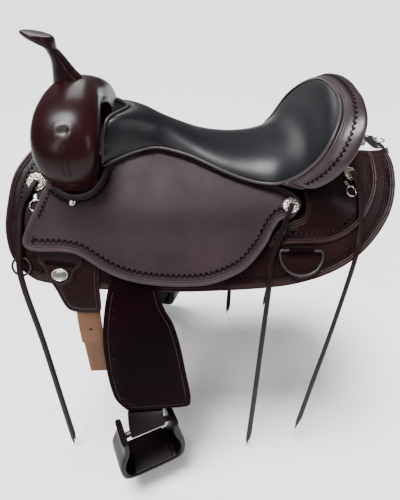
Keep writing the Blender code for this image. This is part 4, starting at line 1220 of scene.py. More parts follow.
@dataclass(frozen=True)
class Fork:
    """The swell cover and the horn that stands on it."""

    x: float = -0.222
    leather: float = 0.0030
    wrap: float = math.radians(128)
    cuts: int = 8
    sides: int = 44
    squareness: float = 0.85
    sections: tuple[Row, ...] = (
        (0.000, 0.083, 0.000, 0.145, 0.045), (0.040, 0.081, 0.052, 0.139, 0.050),
        (0.068, 0.074, 0.106, 0.121, 0.054), (0.084, 0.062, 0.146, 0.088, 0.055),
        (0.092, 0.045, 0.161, 0.049, 0.052), (0.090, 0.031, 0.152, 0.015, 0.047),
        (0.084, 0.019, 0.129, -0.011, 0.040),
    )
    horn_sections: tuple[Row, ...] = (
        (-0.226, 0.116, 0.0340, 0.0280, 10), (-0.228, 0.147, 0.0280, 0.0235, 18),
        (-0.235, 0.166, 0.0215, 0.0195, 28), (-0.245, 0.185, 0.0180, 0.0175, 32),
        (-0.253, 0.194, 0.0195, 0.0190, 32), (-0.264, 0.200, 0.0255, 0.0262, 25),
        (-0.268, 0.2075, 0.0275, 0.0290, 15), (-0.269, 0.2125, 0.0255, 0.0272, 12),
        (-0.2693, 0.2140, 0.0180, 0.0190, 12), (-0.2695, 0.2144, 0.0060, 0.0060, 12),
    )
    horn_cuts: int = 6
    horn_sides: int = 40
    seam_across: float = math.radians(3)
    seam_start: float = 2.80
    seam_end: float = 4.60
    seam_gap: float = 0.18
    seam_half: float = 0.0045
    seam_die: Die = Die(Motif.LACE, 0.0058, 0.0022, 0.0008)
    dimple_depth: float = 0.0042
    dimple_radius: float = 0.0062
    dimple_rim: float = 0.35
    collar_line: tuple[Flat, ...] = ((-0.266, 0.080), (-0.251, 0.089), (-0.226, 0.096),
                                     (-0.197, 0.087), (-0.178, 0.062), (-0.173, 0.045))
    collar_radius: float = 0.0019
    collar_sunk: float = 0.0006
    stitch_spacing: float = 0.0060
    middle_height: float = 0.05

    def point(self, row: Row, angle: float, shrink: float) -> Vector:
        """Return a point on one section, shrunk all round."""
        inner, outer = Vector((0, row[0], row[1])), Vector((0, row[2], row[3]))
        radial = outer - inner
        reach = radial.length / 2 - shrink
        side = power(math.sin(angle), self.squareness)
        out = power(math.cos(angle), self.squareness)
        return (inner + outer) / 2 + radial.normalized() * (out * reach) + Vector(
            (self.x + side * (row[4] - shrink), 0, 0))

    def ring(self, row: Row, shrink: float) -> list[Vector]:
        """Return the points round one section's cover."""
        return [self.point(row, -self.wrap + 2 * self.wrap * step / (self.sides - 1), shrink)
                for step in range(self.sides)]

    def cover(self) -> None:
        """Make the swell's leather, with a dimple pressed in each side."""
        near_half = [(-a, b, -c, d, length) for a, b, c, d, length in self.sections[::-1]]
        rows = smooth_rows(near_half + list(self.sections[1:]), self.cuts)
        piece = Bench.skin("swell_leather", [self.ring(row, 0) + self.ring(row, self.leather)[::-1]
                                             for row in rows])
        middle = Vector((self.x, 0, self.middle_height))
        for side in Side:
            dimple = self.seam_point(self.seam_start, side, 0.0)
            for vert in piece.data.vertices:
                near = (vert.co - dimple).length / self.dimple_radius
                if near < 3 and abs(vert.co.y) > 0.05:
                    press = math.exp(-near ** 2) - self.dimple_rim * math.exp(-(near - 1.8) ** 2)
                    vert.co += (middle - vert.co).normalized() * (self.dimple_depth * press)
        dress(piece, "swell", "swell_cover", angle=40)

    def seam_point(self, place: float, side: Side, lift: float) -> Vector:
        """Return a point of the seam at a place from the swell's middle (0) to its foot."""
        index = min(int(place), len(self.sections) - 2)
        point = self.point(row_at(self.sections, index, place - index), self.seam_across, -lift)
        return Vector((point.x, side.value * point.y, point.z))

    def seam(self, side: Side) -> None:
        """Sew the sunk seam below the dimple."""
        start = self.seam_start + self.seam_gap
        reach = self.seam_end - self.seam_start - self.seam_gap
        scale = (self.seam_point(self.seam_end, side, 0) - self.seam_point(start, side, 0)).length / reach

        def lay(along: float, across: float, lift: float) -> Vector:
            """Lay a flat point on the seam."""
            return self.seam_point(start + along / scale, side, lift) + Vector((across, 0, 0))

        marks = [self.seam_die.strike("swell_seam_%d%s" % (index, side.tag), self.stitch_spacing,
                                      [(0, across), (reach * scale, across)], lay)
                 for index, across in enumerate((-self.seam_half, self.seam_half))]
        dress(Bench.join("swell_seam" + side.tag, marks), "stamp")

    def horn(self) -> None:
        """Make the wrapped horn."""
        rings = []
        for x, z, length, width, tilt in smooth_rows(self.horn_sections, self.horn_cuts):
            turn = math.radians(tilt)
            along = Vector((math.cos(turn), 0, -math.sin(turn)))
            rings.append([Vector((x, 0, z)) + along * (math.cos(angle) * length)
                          + Vector((0, math.sin(angle) * width, 0)) for angle in turns(self.horn_sides)])
        dress(Bench.skin("horn_leather", rings), "swell", "horn_cover", angle=60)

    def collar(self, side: Side) -> None:
        """Make the bead on the jockey's edge round the swell."""
        path = [LAYERS.point(Layer.FLAP, x, down, -self.collar_sunk, side)
                for x, down in smooth_rows(self.collar_line, self.cuts)]
        dress(Bench.tube("swell_collar" + side.tag, even_path(path, 0.004),
                         round_profile(self.collar_radius)), "piping")

    def make(self) -> None:
        """Make the cover, its seams, its collars and the horn."""
        self.cover()
        for side in Side:
            self.seam(side)
            self.collar(side)
        self.horn()


@dataclass(frozen=True)
class SeatSurface:
    """The seat's top. A row is (middle x, z, edge x, y, z, flatness), from front to rear."""

    rows: tuple[Row, ...] = (
        (-0.130, 0.094, -0.175, 0.087, 0.016, 9.5), (-0.119, 0.093, -0.156, 0.079, 0.022, 7.5),
        (-0.098, 0.087, -0.121, 0.062, 0.030, 4.8), (-0.072, 0.075, -0.080, 0.051, 0.034, 2.9),
        (-0.027, 0.055, -0.029, 0.064, 0.026, 2.6), (0.005, 0.042, 0.005, 0.079, 0.016, 2.8),
        (0.037, 0.034, 0.038, 0.095, 0.005, 3.0), (0.068, 0.031, 0.071, 0.108, -0.004, 3.0),
        (0.100, 0.032, 0.102, 0.119, -0.008, 3.0), (0.130, 0.036, 0.130, 0.130, -0.004, 3.0),
        (0.160, 0.043, 0.153, 0.144, 0.013, 2.6), (0.182, 0.056, 0.171, 0.150, 0.031, 2.2),
        (0.198, 0.074, 0.187, 0.154, 0.054, 2.2), (0.209, 0.093, 0.201, 0.146, 0.077, 2.2),
        (0.217, 0.109, 0.216, 0.124, 0.099, 2.2), (0.224, 0.122, 0.226, 0.094, 0.115, 2.2),
        (0.229, 0.133, 0.230, 0.060, 0.126, 2.2),
    )
    upright_from: int = 10
    bow: float = 1.25
    bow_rows: int = 4

    @property
    def last(self) -> int:
        """Return the index of the last row."""
        return len(self.rows) - 1

    def point(self, place: float, share: float) -> Vector:
        """Return the top's point at a place along the rows and a share across."""
        place = min(max(place, 0.0), self.last)
        index = min(int(place), self.last - 1)
        row = row_at(self.rows, index, place - index)
        size = abs(share)
        bow = self.bow + self.bow * min(1.0, place / self.bow_rows)
        return Vector((row[0] + (row[2] - row[0]) * size ** bow, row[3] * share,
                       row[1] + (row[4] - row[1]) * size ** row[5]))

    def normal(self, place: float, share: float) -> Vector:
        """Return the direction off the seat's top."""
        along = self.point(place + 0.05, share) - self.point(place - 0.05, share)
        size = min(max(share, -0.97), 0.97)
        across = self.point(place, size + 0.02) - self.point(place, size - 0.02)
        off = along.cross(across).normalized()
        return off if off.z > 0 or place > self.upright_from else -off


@dataclass(frozen=True)
class Seat:
    """The padded seat, its piping and the leather behind the cantle."""

    surface: SeatSurface = SeatSurface()
    middle: float = 0.013
    edge: float = 0.0050
    gap: float = 0.0005
    cantle: float = 0.010
    cantle_leather: float = 0.0030
    cantle_row: int = 11
    cantle_share: float = 0.975
    along_steps: int = 96
    across_steps: int = 64
    puff: float = 0.0030
    puff_reach: float = 0.016
    sink: float = 0.0034
    sink_reach: float = 0.0045
    crown_reach: float = 0.014
    piping: float = 0.0027
    piping_drop: float = 0.0008
    middle_point: Row = (0.04, 0, 0.02)
    side_steps: int = 90
    end_steps: int = 40

    def shares(self, steps: int) -> list[float]:
        """Return shares across the seat, closer together near its edges."""
        return [math.sin(math.pi / 2 * (2 * step / steps - 1)) for step in range(steps + 1)]

    def border(self) -> list[Vector]:
        """Return the seat's edge, as points round it."""
        point, last, sides, ends = self.surface.point, self.surface.last, self.side_steps, self.end_steps
        right = [point(last * step / sides, 1.0) for step in range(sides + 1)]
        rear = [point(last, 1 - 2 * step / ends) for step in range(1, ends)]
        left = [point(last * (1 - step / sides), -1.0) for step in range(sides + 1)]
        front = [point(0, -1 + 2 * step / ends) for step in range(1, ends)]
        return right + rear + left + front

    def cushion(self) -> None:
        """Make the crowned cushion with its sides pulled in to the piping."""
        border = self.border()
        tree = search_tree(border)
        rings = []
        for row in range(self.along_steps + 1):
            place = self.surface.last * row / self.along_steps
            upper, lower = [], []
            for share in self.shares(self.across_steps):
                point = self.surface.point(place, share)
                off = self.surface.normal(place, share)
                far = tree.find(point)[2]
                rise = self.puff * (1 - math.exp(-far / self.puff_reach))
                rise -= self.sink * math.exp(-far / self.sink_reach)
                depth = self.edge + (self.middle - self.edge) * (1 - math.exp(-far / self.crown_reach))
                upper.append(point + off * rise)
                lower.append(point - off * depth)
            rings.append(upper + lower[::-1])
        piece = Bench.skin("seat_cushion_leather", rings)
        dress(piece, "seat", "seat_cushion", angle=70)
        middle = Vector(self.middle_point)
        lowered = [point - (middle - point).normalized() * self.piping_drop
                   for point in even_path(border, 0.005, closed=True)]
        dress(Bench.tube("seat_piping", lowered, round_profile(self.piping), closed=True), "piping",
              slot="padded_seat_leather")

    def cantle_back(self) -> None:
        """Make the leather over the cantle's back."""
        surface = self.surface
        rings = []
        near = self.middle + self.gap + self.cantle + self.gap
        shares = [share * self.cantle_share for share in self.shares(self.end_steps)]
        for row in range(self.end_steps + 1):
            place = self.cantle_row + (surface.last - 1 - self.cantle_row) * row / self.end_steps
            upper, lower = [[surface.point(place, s) - surface.normal(place, s) * depth for s in shares]
                            for depth in (near, near + self.cantle_leather)]
            rings.append(upper + lower[::-1])
        dress(Bench.skin("cantle_back_leather", rings), "roll", "cantle_back", angle=60)


@dataclass(frozen=True)
class CantleRoll:
    """The rolled edge of the cantle, with its sewn lines and stamped row."""

    surface: SeatSurface = SeatSurface()
    outer: tuple[Row, ...] = (
        (0.158, 0.146, -0.006), (0.182, 0.164, 0.000), (0.207, 0.174, 0.022),
        (0.227, 0.177, 0.052), (0.243, 0.166, 0.083), (0.254, 0.142, 0.109),
        (0.260, 0.100, 0.128), (0.262, 0.060, 0.136),
    )
    first_row: int = 9
    thickness: float = 0.009
    start: float = 0.0052
    cuts: int = 10
    sides: int = 36
    welts: tuple[tuple[str, float, float], ...] = (
        ("inner", -0.93, 0.0024), ("second", -0.72, 0.0016), ("third", -0.52, 0.0013))
    die: Die = Die(Motif.CRESCENT, 0.0082, 0.0074, 0.0010)
    across_power: float = 0.6
    rise_power: float = 0.8
    stamp_spacing: float = 0.0090
    stamp_end: float = 0.030
    stamp_line: float = 0.0005

    def stations(self) -> list[Row]:
        """Return the roll's inner and outer edges from the near end to the off end."""
        half = [(row[2], row[3], row[4], *outer)
                for row, outer in zip(self.surface.rows[self.first_row:], self.outer)]
        top = self.surface.rows[-1]
        half.append((top[0] + 0.001, 0.028, top[1] - 0.002, 0.2640, 0.028, 0.1395))
        left = [(a, -b, c, d, -e, f) for a, b, c, d, e, f in half]
        middle = [(top[0] + 0.001, 0.0, top[1], 0.2645, 0.0, 0.1405)]
        return smooth_rows(left + middle + half[::-1], self.cuts)

    def frames(self) -> list[tuple[Vector, Vector, Vector, float]]:
        """Return each station's middle, width, normal and half thickness."""
        stations = self.stations()
        last = len(stations) - 1
        result = []
        for index, row in enumerate(stations):
            inner, outer = Vector(row[:3]), Vector(row[3:])
            before = Vector(stations[max(index - 1, 0)][:3])
            after = Vector(stations[min(index + 1, last)][:3])
            normal = (after - before).cross(outer - inner).normalized()
            if normal.z < 0:
                normal.negate()
            inner = inner + (outer - inner).normalized() * self.start
            reach = min(index, last - index) / self.cuts
            half = self.thickness / 2 * min(1.0, 0.45 + 0.4 * reach)
            result.append(((inner + outer) / 2 - normal * half, outer - inner, normal, half))
        return result

    def top(self, spot: tuple[Vector, Vector, Vector, float], across: float, lift: float) -> Vector:
        """Return a point on the roll's face at a share across, from -1 to 1."""
        centre, width, normal, half = spot
        rise = (1 - min(1.0, abs(across)) ** (1 / self.across_power)) ** (self.rise_power / 2)
        return centre + width * (across / 2) + normal * (rise * half + lift)

    def make(self) -> None:
        """Make the roll, the welts on its inner side and the stamped row."""
        spots = self.frames()
        rings = [[centre + width * (power(math.cos(angle), self.across_power) / 2)
                  + normal * (power(math.sin(angle), self.rise_power) * half)
                  for angle in turns(self.sides)]
                 for centre, width, normal, half in spots]
        dress(Bench.skin("cantle_roll_leather", rings), "roll", "cantle_roll", angle=60)
        for name, across, radius in self.welts:
            path = [self.top(spot, across, -radius * 0.2) for spot in spots[2:-2]]
            dress(Bench.tube("cantle_welt_" + name, even_path(path, 0.005), round_profile(radius, 10)),
                  "piping")
        length = sum((b[0] - a[0]).length for a, b in zip(spots, spots[1:]))

        def lay(along: float, across: float, lift: float) -> Vector:
            """Lay a flat point on the roll's face."""
            place = min(max(along / length * (len(spots) - 1), 0.0), len(spots) - 1.001)
            index = int(place)
            first, second = [self.top(spot, 2 * across / spot[1].length, lift)
                             for spot in spots[index:index + 2]]
            return first.lerp(second, place - index)

        path = [(self.stamp_end, self.stamp_line), (length - self.stamp_end, self.stamp_line)]
        dress(self.die.strike("cantle_stamps", self.stamp_spacing, path, lay), "stamp")


FENDER_OUTLINE = (
    (-0.150, 0.016), (-0.140, -0.004), (-0.134, -0.0125), (-0.125, -0.0155), (-0.116, -0.0125),
    (-0.110, -0.004), (-0.100, 0.016), (-0.096, 0.050), (-0.088, 0.100), (-0.078, 0.150),
    (-0.060, 0.190), (-0.049, 0.240), (-0.041, 0.300), (-0.035, 0.345), (-0.033, 0.376),
    (-0.043, 0.394), (-0.110, 0.397), (-0.156, 0.398), (-0.166, 0.391), (-0.182, 0.365),
    (-0.189, 0.320), (-0.191, 0.270), (-0.189, 0.210), (-0.180, 0.150), (-0.168, 0.100),
    (-0.156, 0.050),
)


@dataclass(frozen=True)
class Hang:
    """The fender's line: down over the skirt from the bar, then free."""

    x: float = -0.125
    top: float = 0.128
    bend_start: float = 0.128
    bend_radius: float = 0.30
    slope: float = math.radians(82)
    steps: int = 80

    def place(self, length: float, height: float) -> Flat:
        """Return (out, up) at a length below the hinge and a height over the inner face."""
        slope = BACK.ridge_slope(self.x) + self.top / BACK.radius
        start = BACK.point(self.x, self.top, LAYERS.fender_base)
        out, up = start.y, start.z
        part = length / self.steps
        for step in range(self.steps):
            radius = BACK.radius if step * part < self.bend_start else self.bend_radius
            slope = min(self.slope, slope + part / radius)
            out += math.cos(slope) * part
            up -= math.sin(slope) * part
        return out + height * math.sin(slope), up + height * math.cos(slope)


HANG = Hang()


def hung_strap(name: str, path: Sequence[Flat], x: float, width: float, thickness: float,
               side: Side) -> Piece:
    """Make a flat strap that hangs along a path.

    Args:
        name: The piece's name.
        path: The strap's middle line, as (out, up) points.
        x: The middle of the strap along the saddle.
        width: The strap's width.
        thickness: The leather's thickness.
        side: The side of the saddle.

    Returns:
        The strap.
    """
    rings = []
    for index, (out, up) in enumerate(path):
        run = (Vector(path[min(index + 1, len(path) - 1)]) - Vector(path[max(index - 1, 0)])).normalized()
        rings.append([Vector((x + a, side.value * (out - run.y * b), up + run.x * b))
                      for a, b in strap_profile(width, thickness)])
    piece = Bench.skin(name, rings)
    Bench.smooth(piece, 50)
    return piece


def punch_hole(piece: Piece, place: Vector, radius: float) -> None:
    """Punch a round hole across the saddle through a strap."""
    Bench.put_down()
    bpy.ops.mesh.primitive_cylinder_add(vertices=20, radius=radius, depth=0.020)
    cutter = Bench.added("hole_punch")
    turn = Vector((0, 1, 0)).to_track_quat("Z", "Y").to_matrix().to_4x4()
    Bench.settle(cutter, Matrix.Translation(place) @ turn)
    Bench.cut_out(piece, cutter)


@dataclass(frozen=True)
class FenderLeg:
    """One fender with its stirrup leather, bolt and stirrup."""

    side: Side
    leather: float = 0.0040
    borders: tuple[Border, ...] = (
        Border(0.0095, Die(Motif.STITCH, 0.0036, 0.0014, 0.0007), 0.0052, lambda p: p.y > 0.120),
        Border(0.0170, Die(Motif.CRESCENT, 0.0070, 0.0056, 0.0009), 0.0080,
               lambda p: p.y > 0.150 and p.x < -0.120),
    )
    strap_width: float = 0.072
    strap_leather: float = 0.0035
    strap_top: float = 0.235
    strap_falls: int = 14
    strap_rounds: int = 26
    strap_meet: float = 0.425
    strap_close: float = 0.35
    strap_back_end: float = 0.413
    strap_rise: tuple[Flat, ...] = ((0.425, 0.9), (0.414, 0.8), (0.403, 0.7))
    twist_start: float = 0.399
    twist_end: float = 0.433
    bolt_drop: float = 0.449
    bolt_radius: float = 0.0065
    bolt_clearance: float = 0.0005
    bolt_end_gap: float = 0.0013
    yaw: float = math.radians(22)
    depth: float = 0.064
    wall: float = 0.013
    top_half: float = 0.047
    foot_half: float = 0.060
    height: float = 0.104
    ear: float = 0.016
    knee: float = 0.62
    corner: float = 0.006
    tread_half: float = 0.034
    tread_thickness: float = 0.009
    tread_rib: float = 0.00025
    tread_ribs: int = 24
    tread_length: float = 1.25
    tread_depth: float = 1.16
    tread_sunk: float = 0.001
    flare: float = 0.014
    flare_reach: float = 0.8
    cuts: int = 7
    sides: int = 28
    across_power: float = 0.55
    aside_power: float = 0.28
    lace: Die = Die(Motif.LACE, 0.0044, 0.0018, 0.0006)
    lace_row: float = 0.020
    lace_inset: float = 0.0085
    lace_end: float = 0.010
    lace_spacing: float = 0.0054

    @property
    def body(self) -> str:
        """Return the swinging body's name."""
        return "fender_leg" + self.side.tag

    def lay(self, x: float, length: float, lift: float) -> Vector:
        """Lay a flat point on the fender's outer face."""
        out, up = HANG.place(length, self.leather + lift)
        return Vector((x, self.side.value * out, up))

    def bolt_place(self) -> Flat:
        """Return (out, up) of the stirrup bolt's axis."""
        return HANG.place(self.bolt_drop, self.leather / 2)

    def stirrup_frame(self) -> Matrix:
        """Return the stirrup's matrix: X along the bolt, Z up."""
        out, up = self.bolt_place()
        turn = Matrix.Rotation(-self.side.value * self.yaw, 4, "Z")
        return Matrix.Translation((HANG.x, self.side.value * out, up)) @ turn

    def strap_path(self) -> list[Flat]:
        """Return the stirrup leather's line: down behind the fender, round the bolt and up."""
        back = -LAYERS.gap - self.strap_leather / 2
        fall = (self.twist_start - self.strap_top) / self.strap_falls
        path = [HANG.place(self.strap_top + fall * step, back) for step in range(self.strap_falls + 1)]
        path += [HANG.place(self.strap_back_end, back), HANG.place(self.strap_meet, back)]
        out, up = self.bolt_place()
        reach = self.bolt_radius + self.bolt_clearance + self.strap_leather / 2
        start = math.pi - self.strap_close + HANG.slope - math.pi / 2
        for step in range(self.strap_rounds + 1):
            angle = start + (math.pi + 2 * self.strap_close) * step / self.strap_rounds
            path.append((out + reach * math.cos(angle), up + reach * math.sin(angle)))
        return path + [HANG.place(length, self.strap_leather * share)
                       for length, share in self.strap_rise]

    def stirrup_leather(self) -> None:
        """Make the strap behind the fender and twist it to the stirrup's turn."""
        piece = hung_strap("stirrup_strap" + self.side.tag, self.strap_path(), HANG.x,
                           self.strap_width, self.strap_leather, self.side)
        start, end = HANG.place(self.twist_start, 0)[1], HANG.place(self.twist_end, 0)[1]
        middle = Vector((HANG.x, self.side.value * self.bolt_place()[0], 0))
        for vert in piece.data.vertices:
            share = max(0.0, min(1.0, (start - vert.co.z) / (start - end)))
            turn = Matrix.Rotation(-self.side.value * self.yaw * share, 3, "Z")
            vert.co = middle + turn @ (vert.co - middle)
        dress(piece, "wrapped", "stirrup_leather" + self.side.tag, slot="brown_leather",
              body=self.body)

    def bolt(self) -> None:
        """Make the bolt that carries the stirrup."""
        Bench.put_down()
        bpy.ops.mesh.primitive_cylinder_add(vertices=32, radius=self.bolt_radius,
                                            depth=2 * (self.top_half - self.bolt_end_gap))
        piece = Bench.added("stirrup_pin" + self.side.tag)
        Bench.apply(piece, "BEVEL", width=0.0008, segments=2)
        Bench.settle(piece, self.stirrup_frame() @ Matrix.Rotation(math.pi / 2, 4, "Y"))
        dress(piece, "steel", "stirrup_bolt" + self.side.tag, body=self.body, angle=40)

    def outlines(self) -> list[list[Row]]:
        """Return the stirrup's outer and inner lines in its own plane."""
        wall, top, foot, low = self.wall, self.top_half, self.foot_half, -self.height
        knee, corner = low * self.knee, self.corner
        outer = [(-top - wall, self.ear), (-top - wall, -self.ear), (-foot - wall, knee),
                 (-foot - wall + corner, low - corner / 2), (-self.tread_half, low - wall)]
        inner = [(-top, self.ear), (-top, -self.ear), (-foot, knee), (-foot + corner, low + corner),
                 (-self.tread_half, low)]
        halves = [smooth_rows(line, self.cuts) for line in (outer, inner)]
        return [half + [(-x, z) for x, z in half[::-1]] for half in halves]

    def spread(self, height: float) -> Flat:
        """Return the rim's half depth and its middle: it widens towards the horse lower down."""
        grown = self.flare / 2 * min(1.0, max(0.0, -height / (self.height * self.flare_reach)))
        return self.depth / 2 + grown, -self.side.value * grown

    def stirrup(self) -> None:
        """Make the leather-covered stirrup, its laced edge and its tread."""
        outer, inner = self.outlines()
        rings = []
        for (outer_x, outer_z), (inner_x, inner_z) in zip(outer, inner):
            first, second = Vector((outer_x, 0, outer_z)), Vector((inner_x, 0, inner_z))
            reach = (second - first).length / 2
            run = (second - first).normalized()
            half, middle = self.spread(outer_z)
            rings.append([(first + second) / 2 + run * (power(math.cos(angle), self.across_power) * reach)
                          + Vector((0, middle + power(math.sin(angle), self.aside_power) * half, 0))
                          for angle in turns(self.sides)])
        frame_here = self.stirrup_frame()
        body = "stirrup" + self.side.tag
        piece = Bench.skin("stirrup_cover" + self.side.tag, rings)
        Bench.settle(piece, frame_here)
        dress(piece, "wrapped", body, body=body, angle=55)
        lengths = [0.0]
        for a, b in zip(outer, outer[1:]):
            lengths.append(lengths[-1] + (Vector(b) - Vector(a)).length)

        def lay(along: float, aside: float, lift: float) -> Vector:
            """Lay a flat point on the stirrup's outer face, near one of its rims."""
            index = 0
            while index < len(lengths) - 2 and lengths[index + 1] < along:
                index += 1
            share = (along - lengths[index]) / (lengths[index + 1] - lengths[index])
            here, there = [Vector(line[index]).lerp(Vector(line[index + 1]), share)
                           for line in (outer, inner)]
            half, middle = self.spread(here.y)
            aside = (math.copysign(half - self.lace_inset, aside)
                     + (aside - math.copysign(self.lace_row, aside)))
            sunk = (1 - min(1.0, abs(aside) / half) ** (1 / self.aside_power)) ** (self.across_power / 2)
            reach = (here - there).length / 2
            point = (here + there) / 2 + (here - there).normalized() * (reach * sunk + lift)
            return frame_here @ Vector((point.x, middle + aside, point.y))

        rows = [self.lace.strike("stirrup_lace_%d%s" % (index, self.side.tag), self.lace_spacing,
                                 [(self.lace_end, aside), (lengths[-1] - self.lace_end, aside)], lay)
                for index, aside in enumerate((-self.lace_row, self.lace_row))]
        dress(Bench.join("stirrup_lace" + self.side.tag, rows), "thread", slot="wrapped_leather",
              body=body)
        self.tread(frame_here)

    def tread(self, frame_here: Matrix) -> None:
        """Make the ribbed pad on the stirrup's floor."""
        Bench.put_down()
        half = self.tread_length * self.tread_half
        low = -self.height + self.tread_thickness / 2 - self.tread_sunk
        bpy.ops.mesh.primitive_cube_add(size=1.0, scale=(2 * half, self.depth * self.tread_depth,
                                                         self.tread_thickness))
        piece = Bench.added("stirrup_tread" + self.side.tag)
        Bench.settle(piece)
        Bench.take_up(piece, edit=True)
        ribs = self.tread_ribs / 2
        Bench.cross_cut([half * (step / ribs - 1) for step in range(1, self.tread_ribs)], 0)
        Bench.put_down()
        for vert in piece.data.vertices:
            if vert.co.z > 0 and abs(vert.co.x) < half - 0.001:
                odd = round(vert.co.x / (half / ribs)) % 2
                vert.co.z += self.tread_rib if odd else -self.tread_rib
        Bench.apply(piece, "BEVEL", width=0.0012, segments=3, limit_method="ANGLE")
        Bench.settle(piece, frame_here @ Matrix.Translation((0, self.spread(-self.height)[1], low)))
        dress(piece, "wrapped", body="stirrup" + self.side.tag, angle=40)

    def make(self) -> None:
        """Make the leg."""
        cut = FlatLeather("fender_leather" + self.side.tag, FENDER_OUTLINE, self.leather, ONE_LINE)
        cut.lay_down("fender", self.side.tag, self.lay, "fender", self.borders, self.body)
        self.stirrup_leather()
        self.bolt()
        self.stirrup()


@dataclass(frozen=True)
class DiscShape:
    """A struck metal disc: its profile (size, rise, relief) from the rim in, and its lobes."""

    profile: tuple[Row, ...]
    lobes: int = 12
    scallop: float = 0.0
    square: float = 1.0
    points: int = 96

    def strike(self, name: str, half: Flat, thickness: float, place: Matrix, finish: str,
               *nodes: str) -> None:
        """Strike a disc, set it on a matrix's face and dress it.

        Args:
            name: The piece's name.
            half: The half widths along X and Y.
            thickness: The disc's thickness.
            place: Where it stands.
            finish: The key of its finish.
            nodes: The CAD nodes that it replaces.
        """
        rings = []
        for size, rise, relief in self.profile:
            ring = []
            for angle in turns(self.points):
                wave = 0.5 - 0.5 * math.cos(self.lobes * angle)
                reach = size * (1 - self.scallop * wave * size)
                ring.append(Vector((half[0] * reach * power(math.cos(angle), self.square),
                                    half[1] * reach * power(math.sin(angle), self.square),
                                    thickness * (rise - relief * wave))))
            rings.append(ring)
        piece = Bench.skin(name, rings)
        Bench.settle(piece, place)
        dress(piece, finish, *nodes, angle=55)


CONCHO = DiscShape((
    (0.95, 0.00, 0.0), (1.00, 0.10, 0.0), (1.00, 0.34, 0.0), (0.95, 0.48, 0.0), (0.89, 0.40, 0.0),
    (0.85, 0.36, 0.0), (0.82, 0.42, 0.04), (0.72, 0.66, 0.16), (0.60, 0.78, 0.20),
    (0.50, 0.76, 0.14), (0.44, 0.66, 0.0), (0.40, 0.64, 0.0), (0.36, 0.78, 0.0), (0.26, 0.94, 0.0),
    (0.12, 1.00, 0.0), (0.03, 1.00, 0.0),
), 12, 0.045)
SCREW = DiscShape(((0.92, 0.0, 0.0), (1.0, 0.15, 0.0), (1.0, 0.4, 0.0), (0.85, 0.72, 0.0),
                   (0.55, 0.94, 0.0), (0.2, 1.0, 0.0), (0.05, 1.0, 0.0)), points=40)
OVAL = DiscShape((
    (0.96, 0.0, 0.0), (1.00, 0.20, 0.0), (1.00, 0.60, 0.20), (0.94, 0.90, 0.25), (0.88, 0.62, 0.10),
    (0.84, 0.50, 0.0), (0.80, 0.54, 0.0), (0.60, 0.80, 0.0), (0.30, 0.95, 0.0), (0.05, 1.0, 0.0),
), 32, 0.02, points=128)
PLATE = DiscShape((
    (0.985, 0.0, 0.0), (1.00, 0.15, 0.0), (1.00, 0.70, 0.0), (0.965, 1.0, 0.0), (0.93, 1.0, 0.0),
    (0.91, 0.75, 0.0), (0.80, 0.75, 0.0), (0.40, 0.78, 0.0), (0.05, 0.80, 0.0),
), 4, 0.0, 0.32, 96)


